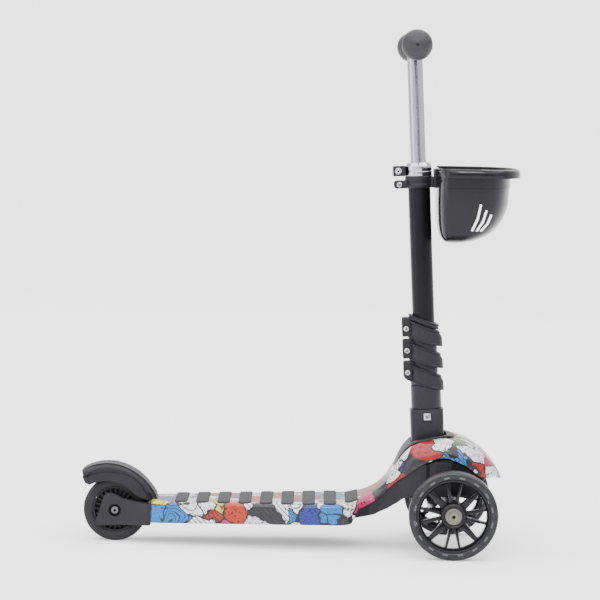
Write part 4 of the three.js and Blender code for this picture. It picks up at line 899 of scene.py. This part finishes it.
def makeFrontWheel(word, sign):
    body = f"front_wheel_{word}"
    axle = Vector((frontAxle.x, sign * abs(frontAxle.y), frontAxle.z))
    place = Matrix.Translation(axle)
    tyre = gather((tyreForm(frontTyre), alongY))
    finishPiece(f"frontTyre_{word}", tyre, body, "smoke", [f"front_tyre_{word}"], place)
    finishPiece(f"frontCore_{word}", frontCoreForm(), body, "gloss", [f"front_wheel_core_{word}"], place)
    finishPiece(f"frontBearings_{word}", bearingForm(), body, "bearing", [f"front_bearings_{word}"], place)
    marks = []
    for k in range(frontTyre["marks"]):
        turn = Matrix.Rotation(math.tau * (k + 0.5) / frontTyre["marks"], 4, "Y")
        for side in (-1, 1):
            length, width = frontTyre["mark"]
            centre = (frontTyre["markRing"], side * (frontTyre["half"] - 0.05), 0)
            marks.append((brick((width, 0.5, length), 0.2, centre), turn))
    finishPiece(f"tyreMarks_{word}", gather(*marks), body, "mark", [], place)
    # the axle's head, outside, on the knuckle's side of the joint
    head = socketHead(6.5, 3.4, 11.8, 2.2)
    shank = turned(oblong(0, 4, -26, 11.9), 48)
    turn, knuckle = sideways[sign], f"knuckle_{word}"
    finishHead(f"frontAxle_{word}", gather((head, turn)), knuckle, "bearing", [f"front_axle_{word}"], place)
    finishPiece(f"frontShank_{word}", gather((shank, turn)), knuckle, "steel", [], place)


for word, sign in (("left", 1), ("right", -1)):
    makeFrontWheel(word, sign)
print("front wheels made")


def makeRearWheel():
    place = Matrix.Translation(rearAxle)
    finishPiece("rearTyre", gather((tyreForm(rearTyre), alongY)), "rear_wheel", "tyre", ["rear_tyre"], place)
    half = 11
    rim = turned(oblong(28.4, 31, -half, half), 120, 0.7, True)
    hub = turned(oblong(11.2, 13, -12, 12), 72, 0.3, True)
    web = turned(oblong(12.5, 29, -2, 2), 96, 0.0, True)
    items = [(rim, alongY), (hub, alongY), (web, alongY)]
    for k in range(24):
        rib = slab(oblong(12.6, 28.8, -1, 1), 19, 0.3)
        items.append((rib, Matrix.Rotation(math.tau * k / 24, 4, "Y")))
    finishPiece("rearCore", gather(*items), "rear_wheel", "plastic", ["rear_wheel_core"], place)
    finishPiece("rearBearings", bearingForm(), "rear_wheel", "bearing", ["rear_bearings"], place)


makeRearWheel()

# rear fork

fork = {
    "inner": 15, "outer": 23, "flareFrom": 14.7, "flareTo": 46.9, "flareOuter": 37,
    "recess": 8.5, "recessDepth": 3.6,
    "side": [
        (50.4, 25.6), (50.4, 55.6), (43, 55.2), (28, 57.2), (19, 58.5), (10, 60.7), (2.6, 65.1), (-4.4, 67.5),
        (-12, 67.3), (-15.8, 62.5), (-19.8, 48.4), (-24.2, 35.2), (-26.6, 27), (-25.6, 23.6), (-22.9, 22.6),
    ],
}


def flareAt(x):
    share = min(max((x - fork["flareFrom"]) / (fork["flareTo"] - fork["flareFrom"]), 0), 1)
    return fork["outer"] + (fork["flareOuter"] - fork["outer"]) * share


def makeFork():
    items = []
    for side in (-1, 1):
        depth = fork["outer"] - fork["inner"]
        arm = slab(fork["side"], depth, 0, 3.5)
        long = [edge for edge in arm.edges if edge.calc_length() > 6 * mm]
        bmesh.ops.subdivide_edges(arm, edges=long, cuts=5, use_grid_fill=False)
        for cut in (16, 22, 28, 34, 40, 46):
            whole = arm.verts[:] + arm.edges[:] + arm.faces[:]
            bmesh.ops.bisect_plane(arm, geom=whole, plane_co=(cut * mm, 0, 0), plane_no=(1, 0, 0))
        for vert in arm.verts:
            outerFace = vert.co.y * side > 0
            vert.co.y = side * (flareAt(vert.co.x / mm) if outerFace else fork["inner"]) * mm
        bmesh.ops.recalc_face_normals(arm, faces=arm.faces)
        rims = [e for e in arm.edges if e.calc_face_angle(0) > math.radians(50)]
        bmesh.ops.bevel(
            arm, geom=rims, offset=0.9 * mm, segments=3, profile=0.5, affect="EDGES", material=-1,
            clamp_overlap=True,
        )
        bmesh.ops.remove_doubles(arm, verts=arm.verts, dist=0.01 * mm)
        bmesh.ops.dissolve_degenerate(arm, edges=arm.edges, dist=0.01 * mm)
        items.append((arm, unmoved))
    piece = finishPiece("forkArms", gather(*items), "deck", "cheek", ["rear_fork"], groundFrame)
    # round recesses for the axle bolt, their walls in painted shade
    for side in (-1, 1):
        well = turned(oblong(0, fork["recess"], 0, 12), 72, 0.0)
        shift = Matrix.Translation((0, side * (fork["outer"] - fork["recessDepth"]) * mm, 0))
        well.transform(Matrix.Translation(rearAxle) @ shift @ sideways[side])
        cutBy(piece, well, "shade")
    cap = slab(oblong(29.6, 59, -38, 38), 3.8, 0.9, 3.6)
    stand = Matrix.Translation((48.8 * mm, 0, 0)) @ Matrix.Rotation(-math.pi / 2, 4, "Y") @ upright
    finishPiece("forkCap", cap, "deck", "cheek", [], groundFrame @ stand)
    bosses = []
    for side in (-1, 1):
        shift = Matrix.Translation((0, (side * 13.5 - 1.7) * mm, 0))
        bosses.append((turned(oblong(4.4, 6.5, 0, 3.4), 48, 0.2, True), shift @ alongY))
    finishPiece("forkBosses", gather(*bosses), "deck", "cheek", [], Matrix.Translation(rearAxle))
    ears = []
    hinge = (brakeHinge.x - rearAxle.x) / mm
    for side in (-1, 1):
        outline = [(hinge - 4.2, 52), (50.5, 52), (52.3, 66), (50.5, 70), (hinge, 70.4), (hinge - 3.8, 69)]
        ears.append((slab(outline, 6, 0.6, 1.5), Matrix.Translation((0, side * 13 * mm, 0))))
    finishPiece("forkEars", gather(*ears), "deck", "cheek", [], groundFrame)


makeFork()


def makeRearAxle():
    face = 19.7
    head = socketHead(5.0, 3.4, face, 1.7)
    place = Matrix.Translation(rearAxle)
    shank = turned(oblong(0, 4, -23.6, face), 48)
    finishHead("rearAxleBolt", gather((head, upright)), "deck", "dull", ["rear_axle_bolt"], place)
    finishPiece("rearAxleShank", gather((shank, upright)), "deck", "steel", [], place)
    nut = turned(oblong(4.2, 7.4, face, face + 4.2), 6, 0, True)
    finishPiece("rearAxleNut", gather((nut, alongY)), "deck", "steel", ["rear_axle_nut"], place)


makeRearAxle()
print("fork made")

# brake fender

fender = {
    "centre": (-7.8, 41), "half": 24, "wall": 1.8, "from": 124.2, "to": 17.0, "bend": 7,
    "radii": [(0, 68.5), (0.3, 67), (0.6, 65.6), (0.83, 66.4), (1, 69)], "tailLean": 1.9, "tailTo": 0.12,
    "step": 3.0, "stepFrom": 0.14,
    "rows": [
        (0, -36.3, 46.4, -36.6, 48), (0.05, -35.2, 43.2, -35.6, 46.8), (0.1, -33.6, 40.4, -33.2, 46.6),
        (0.15, -31, 38.5, -30, 47.9), (0.2, -27.4, 37.4, -26, 49.8), (0.28, -19.6, 40.4, -18.5, 52.4),
        (0.42, -4.3, 43.1, -5, 54.4), (0.56, 12.8, 40.6, 13, 53.4), (0.7, 26.6, 33, 29.5, 48.6),
        (0.82, 38.2, 23.4, 41, 40), (0.92, 46.5, 19, 49, 28.5), (1, 58.5, 17.6, 59.2, 18),
    ],
    "treadHalf": 18, "treadFrom": 122, "treadTo": 20, "ridges": 40, "ridge": 2.4,
}


def fenderPoint(u, v):
    # from the right lower edge up the side, over a small step, round the shoulder and across the crown
    radius, half, bend = along(fender["radii"], u), fender["half"], fender["bend"]
    angle = math.radians(fender["from"] + (fender["to"] - fender["from"]) * u)
    corners = [along([(row[0], row[k]) for row in fender["rows"]], u) for k in range(1, 5)]
    edge, ridge = Vector(corners[:2]), Vector(corners[2:])
    side = -1 if v < 0.5 else 1
    share = 1 - abs(v - 0.5) * 2
    shoulder = radius - bend
    tail = angle + math.radians(fender["tailLean"]) * max(1 - u / fender["tailTo"], 0)
    start = Vector((math.cos(tail), math.sin(tail))) * shoulder
    inset = fender["step"] * min(u / fender["stepFrom"], 1)
    inner = half - inset
    if share < 0.2:
        point, y = edge.lerp(ridge, share / 0.2), half
    elif share < 0.28:
        t = (share - 0.2) / 0.08
        point, y = ridge.lerp(start, t * 0.13), half - inset * (1 - math.cos(t * math.pi)) / 2
    elif share < 0.48:
        point, y = ridge.lerp(start, 0.13 + 0.87 * (share - 0.28) / 0.2), inner
    elif share < 0.68:
        turn = (share - 0.48) / 0.2 * math.pi / 2
        r = shoulder + bend * math.sin(turn)
        y = inner - bend + bend * math.cos(turn)
        swung = tail + (angle - tail) * math.sin(turn)
        point = Vector((math.cos(swung), math.sin(swung))) * r
    else:
        y = (inner - bend) * (1 - (share - 0.68) / 0.32)
        point = Vector((math.cos(angle), math.sin(angle))) * radius
    return Vector((point.x * mm, side * y * mm, point.y * mm))


def makeFender():
    place = groundFrame @ Matrix.Translation((fender["centre"][0] * mm, 0, fender["centre"][1] * mm))
    form = sheetOf(160, 100, fenderPoint)
    lookUp(form)
    piece = finishPiece("brakeFender", form, "brake", "plastic", ["brake_fender"], place)
    thicken(piece, fender["wall"], -1.0, None, False)

    def ridged(u, v):
        angle = math.radians(fender["treadFrom"] + (fender["treadTo"] - fender["treadFrom"]) * u)
        y = (v - 0.5) * 2 * fender["treadHalf"]
        rim = min(u * 60, (1 - u) * 60, v * 18, (1 - v) * 18, 1)
        slant = y / fender["treadHalf"] * 2.0
        wave = math.cos(u * fender["ridges"] * math.pi + slant)
        cross = math.cos(u * fender["ridges"] * math.pi - slant)
        share = (fender["from"] - math.degrees(angle)) / (fender["from"] - fender["to"])
        rise = 0.3 + fender["ridge"] * 0.7 * max(wave + cross, 0) / 2
        r = along(fender["radii"], share) + 0.1 + rim * rise
        return Vector((r * math.cos(angle) * mm, y * mm, r * math.sin(angle) * mm))

    tread = sheetOf(420, 30, ridged)
    lookUp(tread)
    strip = finishPiece("brakeTread", tread, "brake", "tread", ["brake_tread"], place, 60)
    thicken(strip, 0.3, -1.0)


makeFender()
print("fender made")

# column: heights are measured from the lean pivot along the column

column = {
    "bore": 13.65, "tube": 15.15, "foot": 20, "top": 427.4,
    "socket": (45.7, 39), "socketCorner": 12, "socketFoot": 18, "socketTop": 92,
    "screw": 9.6, "screwRise": 82,
}


def makeColumn():
    tube = turned(oblong(column["bore"], column["tube"], column["foot"], column["top"]), 128, 0.3, True)
    finishPiece("columnTube", tube, "column", "column", ["column_tube"], columnFrame)
    lower = turned([
        (15.4, 92.3), (20.4, 92.3), (20.7, 93), (20.7, 123.6), (20.2, 124.5), (15.4, 124.5),
    ], 128, 0.2, True)
    finishPiece("lowerTube", lower, "column", "plastic", ["lower_tube"], columnFrame)
    length, width = column["socket"]
    low, high = column["socketFoot"], column["socketTop"]
    outline = oblong(-length / 2, length / 2, -width / 2, width / 2)
    body = slab(outline, high - low, 0.8, column["socketCorner"])
    body.transform(Matrix.Translation((0, 0, (high + low) / 2 * mm)) @ upright)
    finishPiece("columnSocket", body, "column", "plastic", ["column_socket"], columnFrame)
    face = width / 2 + 0.3
    head = brick((column["screw"], 3, column["screw"]), 0.7, (0, -face - 1.5, column["screwRise"]))
    stud = turned([(0, 2.8), (2.3, 2.8), (2.3, 3.3), (1.8, 3.6), (0, 3.6)], 32)
    turn = Matrix.Translation((0, -face * mm, column["screwRise"] * mm)) @ upright
    finishPiece("socketScrew", head, "column", "steel", ["socket_screw"], columnFrame)
    finishPiece("socketScrewPin", gather((stud, turn)), "column", "dull", [], columnFrame)


makeColumn()

sleeve = {
    "foot": 124.8, "top": 210, "stripRise": 211.6, "stripHeight": 7.4,
    "stripRows": [
        (0.5, 15.6, 0), (0.5, 20.2, 0), (0.42, 21.2, 0.2), (0.3, 21.4, 0.4), (0.16, 20, 0.4), (-0.3, 20, 0.4),
        (-0.4, 21, 0.4), (-0.5, 20.4, 0.4), (-0.5, 15.6, 0),
    ],
    "core": 17.4, "bands": 3, "lowest": 134.5, "pitch": 30.2, "height": 23,
    "topSlant": 22, "footSlant": 17,
    "rows": [
        (0.5, 15.6, 0), (0.5, 19.8, 0), (0.49, 21.2, 0), (0.45, 22.2, 0), (0.4, 22.2, 0.2), (0.36, 20.8, 0.6),
        (0.2, 20.6, 2.8), (0.08, 20.6, 4), (-0.32, 20.6, 4.4), (-0.36, 20.8, 4.2), (-0.4, 22.2, 3),
        (-0.46, 22.4, 2.8), (-0.5, 21.6, 2.8), (-0.5, 15.6, 0),
    ],
    "lugs": (-30.1, -14), "lugWidth": 18, "lugHeight": 26.6, "lugShift": 2.4, "lugLowest": 142.5,
    "bolt": -24.1, "boltRadius": 3.9,
}


def bandForm(rows, middle, height, slants, angles):
    # a slanted ring from rows of (share of the height, radius, flare at the front)
    rings = []
    for share, radius, flare in rows:
        slope = slants[0] + (slants[1] - slants[0]) * (share + 0.5)
        ring = []
        for a in angles:
            c, s = math.cos(a), math.sin(a)
            r = radius + flare * max(c, 0) ** 2
            ring.append(Vector((r * c, r * s, middle + share * height - slope * radius * c)) * mm)
        rings.append(ring)
    rings.append([point.copy() for point in rings[0]])
    form = stack(rings, False, False)
    bmesh.ops.remove_doubles(form, verts=form.verts, dist=0.001 * mm)
    bmesh.ops.recalc_face_normals(form, faces=form.faces)
    return form


def makeSleeve():
    # thin split core, three slanted bands with raised lips that stand out as teeth at the front, three lugs
    count = 128
    slants = [math.tan(math.radians(sleeve[key])) for key in ("footSlant", "topSlant")]
    angles = [math.tau * k / count for k in range(count)]
    foot, top = sleeve["foot"], sleeve["top"]
    core = turned([
        (15.6, foot), (20, foot), (20.4, foot + 0.5), (20.4, foot + 3), (sleeve["core"], foot + 5),
        (sleeve["core"], top), (15.6, top),
    ], count, 0.0, True)
    items = [(core, unmoved)]
    for band in range(sleeve["bands"]):
        middle = sleeve["lowest"] + band * sleeve["pitch"]
        items.append((bandForm(sleeve["rows"], middle, sleeve["height"], slants, angles), unmoved))
        rise = sleeve["lugLowest"] + band * sleeve["pitch"] + sleeve["lugShift"]
        back, front = sleeve["lugs"]
        half = sleeve["lugHeight"] / 2
        cut = 5 if band == 0 else 1
        lug = slab([
            (back, rise - half + cut), (back + cut, rise - half), (front, rise - half), (front, rise + half),
            (back, rise + half),
        ], sleeve["lugWidth"], 0.9, 3)
        items.append((lug, unmoved))
    strip = bandForm(sleeve["stripRows"], sleeve["stripRise"], sleeve["stripHeight"], [slants[1]] * 2, angles)
    items.append((strip, unmoved))
    finishPiece("clampSleeve", gather(*items), "column", "plastic", ["clamp_sleeve"], columnFrame)
    for band in range(sleeve["bands"]):
        rise = sleeve["lugLowest"] + band * sleeve["pitch"]
        name, node = f"sleeveBolt{band + 1}", f"sleeve_bolt_{band + 1}"
        crossBolt(name, node, sleeve["bolt"], rise, sleeve["lugWidth"] / 2, sleeve["boltRadius"])


def crossBolt(name, node, x, z, half, radius):
    # a bolt across the column's lugs, with a head on each side
    face = half + 0.3
    heads = [(socketHead(radius, 3.0, face, radius * 0.3, 0.9), sideways[side]) for side in (-1, 1)]
    place = columnFrame @ Matrix.Translation((x * mm, 0, z * mm))
    shank = turned(oblong(0, 2, -face - 0.5, face + 0.5), 24)
    finishHead(name, gather(*heads, (shank, alongY)), "column", "steel", [node], place)


makeSleeve()
print("column made")

collar = {
    "radius": 18, "foot": 412, "top": 430, "neck": 10.9, "lip": 2.4, "bore": 15.5,
    "lugDepth": 17, "lugHeight": 14, "lugWidth": 20, "lugRise": 419.2, "boltRadius": 4.7,
}
clamp = {
    "radius": 19, "foot": 395.3, "top": 411.7, "bore": 15.5,
    "lugDepth": 15.5, "lugHeight": 11, "lugWidth": 18, "boltRadius": 3.8,
    "plateTop": 421, "plateHalf": 18, "plateDepth": 4, "armHalf": 11,
}


def makeCollar():
    radius, foot, top, neck = (collar[key] for key in ("radius", "foot", "top", "neck"))
    ring = turned([
        (collar["bore"], foot), (radius, foot), (radius, foot + 5.6), (radius - 0.5, foot + 6),
        (radius - 0.5, foot + 6.6), (radius, foot + 7), (radius, top - 5), (radius - 2.2, top - 1.2),
        (radius - 3.4, top), (neck, top), (neck, top - collar["lip"]), (collar["bore"], top - collar["lip"]),
    ], 128, 0.3, True)
    finishPiece("heightCollar", ring, "column", "alloy", ["height_collar"], columnFrame)
    depth, width, rise = collar["lugDepth"], collar["lugWidth"], collar["lugRise"]
    half = collar["lugHeight"] / 2
    lug = slab(oblong(-radius - depth, -radius + 0.2, rise - half, rise + half), width, 0.7, 1.4)
    finishPiece("collarLug", lug, "column", "plastic", ["collar_lug"], columnFrame)
    crossBolt("collarBolt", "collar_bolt", -(radius + depth * 0.58), rise, width / 2, collar["boltRadius"])


def makeBasketClamp():
    radius, foot, top, depth = (clamp[key] for key in ("radius", "foot", "top", "lugDepth"))
    ring = turned([
        (clamp["bore"], foot), (radius - 1.2, foot), (radius, foot + 1.4), (radius, foot + 5),
        (radius - 1, foot + 6), (radius - 1, foot + 9), (radius, foot + 10), (radius, top - 1),
        (radius - 1, top), (clamp["bore"], top),
    ], 128, 0.4, True)
    outline = oblong(-radius - depth, -radius * 0.8, foot, foot + clamp["lugHeight"])
    lug = slab(outline, clamp["lugWidth"], 0.8, 4.6)
    form = gather((ring, unmoved), (lug, unmoved))
    finishPiece("basketClamp", form, "column", "plastic", ["basket_clamp"], columnFrame)
    rise = foot + clamp["lugHeight"] / 2
    across = (-(radius + depth * 0.5), rise, clamp["lugWidth"] / 2, clamp["boltRadius"])
    crossBolt("basketClampBolt", "basket_clamp_bolt", *across)
    # the hook plate that carries the basket, upright in front of the ring
    low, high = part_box("basket")
    face = low.x - 0.3 * mm
    bottom = leanPivot.z + clamp["foot"] * mm
    top = leanPivot.z + clamp["plateTop"] * mm
    plate = brick((clamp["plateDepth"], 2 * clamp["plateHalf"], (top - bottom) / mm), 0.8)
    plate.transform(Matrix.Translation((face - clamp["plateDepth"] * mm / 2, 0, (top + bottom) / 2)))
    reach = face - (leanPivot.x + columnAxis.x * 0.403 + 0.016)
    arm = brick((reach / mm, 2 * clamp["armHalf"], 15), 1.5)
    arm.transform(Matrix.Translation((face - reach / 2 - 1 * mm, 0, leanPivot.z + 0.4030)))
    finishPiece("basketHook", gather((plate, unmoved), (arm, unmoved)), "column", "plastic")


makeCollar()
makeBasketClamp()
print("clamps made")

# basket

basket = {
    "rear": 432, "front": 531.4, "foot": 423, "top": 523.5, "half": 80, "wall": 2.6,
    "rimFront": 14.3, "rimSide": 9, "points": 180, "inside": 12,
    "rows": [
        (0, 0.115, 0.4, 0.62), (0.012, 0.095, 0.48, 0.68), (0.03, 0.075, 0.56, 0.74),
        (0.08, 0.05, 0.69, 0.83), (0.15, 0.032, 0.79, 0.88), (0.22, 0.02, 0.85, 0.91),
        (0.29, 0.013, 0.9, 0.935),
        (0.36, 0.01, 0.935, 0.95), (0.45, 0.004, 0.965, 0.967), (0.54, 0, 0.985, 0.98),
        (0.7, 0, 0.995, 0.993), (0.74, 0, 0.996, 0.994), (0.745, 0, 1.006, 1.006), (0.876, 0, 1.01, 1.01),
    ],
    "slotWidth": 3.1, "slotFoot": 0.168,
    "slots": [(0.466, 0.584, 0.54), (0.53, 0.662, 0.46), (0.584, 0.728, 0.4)],
    "lips": [
        (-12.5, 0.75, 0), (-12.2, 0.96, 0), (-11.3, 1.0, 0), (-5.5, 0.98, 0), (-2.6, 0.9, 0), (-0.8, 0.78, 0),
        (0, 0.6, 0), (-0.2, 0.4, 0), (-1.2, 0.28, 0.6),
    ],
}


def basketRing(z, rear, front, half):
    middle, reach = (rear + front) / 2, (front - rear) / 2
    ring = []
    for k in range(basket["points"]):
        angle = math.tau * k / basket["points"]
        c, s = math.cos(angle), math.sin(angle)
        blunt, side = (0.3, 0.45) if c < 0 else (0.86, 0.82)
        x = middle + reach * math.copysign(abs(c) ** blunt, c)
        y = half * math.copysign(abs(s) ** side, s)
        ring.append(Vector((x * mm, y * mm, z * mm)))
    return ring


def makeBasket():
    depth = basket["front"] - basket["rear"]
    height = basket["top"] - basket["foot"]

    def level(row, inset, lift=0.0):
        up, rear, front, half = row
        return basketRing(
            basket["foot"] + up * height + lift, basket["rear"] + rear * depth + inset,
            basket["rear"] + front * depth - inset, half * basket["half"] - inset,
        )

    def lip(drop, share, inset):
        front = basket["front"] + share * basket["rimFront"] - inset
        half = basket["half"] + share * basket["rimSide"] - inset
        return basketRing(basket["top"] + drop, basket["rear"] + inset, front, half)

    wall = basket["wall"]
    inner = [level(row, wall, 0.0 if k else wall) for k, row in enumerate(basket["rows"][:basket["inside"]])]
    rings = [level(row, 0) for row in basket["rows"]] + [lip(*row) for row in basket["lips"]] + inner[::-1]
    form = stack(rings)
    # the basket's inside faces below the rim take painted shade
    centre = Vector(((basket["rear"] + basket["front"]) / 2 * mm, 0))
    for face in form.faces:
        middle = face.calc_center_median()
        away = (middle.xy - centre).dot(face.normal.xy)
        inside = middle.z > (basket["foot"] + 1) * mm and (away < -0.001 * mm or face.normal.z > 0.9)
        face.material_index = 1 if inside and middle.z < (basket["top"] - 0.6) * mm else 0
    piece = finishPiece("basketBucket", form, "column", "gloss", ["basket"], groundFrame)
    piece.data.materials.append(materials["shade"])
    cutters = []
    for footX, topX, topZ in basket["slots"]:
        foot = Vector((basket["rear"] + footX * depth, basket["foot"] + basket["slotFoot"] * height))
        head = Vector((basket["rear"] + topX * depth, basket["foot"] + topZ * height))
        bow = (foot + head) / 2 + Vector((basket["slotWidth"] * 0.6, -basket["slotWidth"] * 0.4))
        half = basket["slotWidth"] / 2
        across = Vector((half, -half * 0.3))
        outline = [foot - across, foot + across, bow + across, head + across, head - across, bow - across]
        cutter = slab([tuple(point) for point in outline], 2.4 * basket["half"], 0, 1.0)
        # leans with the photograph's line of sight, so that daylight shows through both walls
        for vert in cutter.verts:
            into = vert.co.y + basket["half"] * 0.85 * mm
            vert.co.x += into * (foot.x - photo["eye"][0]) / photo["distance"]
            vert.co.z += into * (foot.y - photo["eye"][1]) / photo["distance"]
        cutters.append((cutter, groundFrame))
    cutBy(piece, gather(*cutters))
    # the round screw that holds the basket to its hook plate, seen inside the basket
    low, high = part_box("basket_screw")
    screw = socketHead(5.5, 2.4, 0, 2.4, 0.8)
    place = Matrix.Translation((high.x - 2.6 * mm, 0, (low.z + high.z) / 2)) @ alongX
    finishHead("basketScrew", screw, "column", "steel", ["basket_screw"], place)


makeBasket()
print("basket made")

# handlebar

bar = {"bore": 9, "radius": 10.5, "sleeve": 13.3, "sleeveHeight": 24, "rise": 588.7, "foot": 231, "half": 118}
grip = {"inner": 34, "outer": 134, "flange": 19, "flangeWidth": 5, "body": 15.5, "ball": 20.8, "dimple": 2.2}


def makeHandlebar():
    bore, radius, half = bar["bore"], bar["radius"], bar["half"]
    knee, top = bar["foot"] + bar["sleeveHeight"], bar["rise"] - 4
    foot, wide = bar["foot"], bar["sleeve"]
    stem = turned([
        (bore, foot), (wide, foot), (wide, knee), (radius, knee), (radius, top), (bore, top),
    ], 128, 0.3, True)
    finishPiece("barStem", stem, "handlebar", "alloy", ["tbar_stem"], columnFrame)
    place = columnFrame @ Matrix.Translation((0, 0, bar["rise"] * mm))
    cross = turned(oblong(bore, radius, -half, half), 128, 0.3, True)
    finishPiece("crossbar", gather((cross, alongY)), "handlebar", "alloy", ["crossbar"], place)
    for word, side in (("left", 1), ("right", -1)):
        ball, inner, outer, flange, body = (grip[key] for key in ("ball", "inner", "outer", "flange", "body"))
        centre = outer - ball * 0.8
        reach = outer - centre
        collarEnd = inner + grip["flangeWidth"]
        profile = [
            (0, half + 0.5), (10.8, half + 0.5), (10.8, inner), (flange - 1.5, inner), (flange, inner + 1.5),
            (flange, collarEnd - 1.5), (flange - 1.5, collarEnd), (body - 1, collarEnd + 2),
        ]
        for k in range(1, 13):
            y = inner + 9 + k * 4.2
            profile += [(body - 1.1, y - 2.8), (body - 0.2, y - 2.1), (body - 0.2, y - 0.7), (body - 1.1, y)]
        for turn in (-0.7, -0.55, -0.4, -0.25, -0.1):
            profile.append((ball * math.cos(turn), centre + ball * math.sin(turn)))
        for turn in [k * 0.1 for k in range(15)]:
            profile.append((ball * math.cos(turn), centre + reach * math.sin(turn)))
        for share, drop in ((1, 0.1), (0.9, 0.6), (0.7, 3), (0, 3)):
            profile.append((grip["dimple"] * share, outer - drop))
        form = gather((turned(profile, 128, 0.0), sideways[side]))
        finishPiece(f"gripBody_{word}", form, "handlebar", "grip", [f"grip_{word}"], place, 50)


makeHandlebar()
print("handlebar made")

# every CAD piece that stays gets its finish

kept = {
    "brake_shoe": "rubber", "brake_hinge_pin": "column", "brake_return_spring": "steel",
    "kingpin_left": "steel", "kingpin_right": "steel", "tie_rod": "steel", "lean_pivot_pin": "steel",
    "centring_spring_left": "steel", "centring_spring_right": "steel",
}
for node, piece in frame["nodes"].items():
    piece.data.materials.clear()
    piece.data.materials.append(materials[kept.get(node, "plastic")])
print("finishes set on the frame")
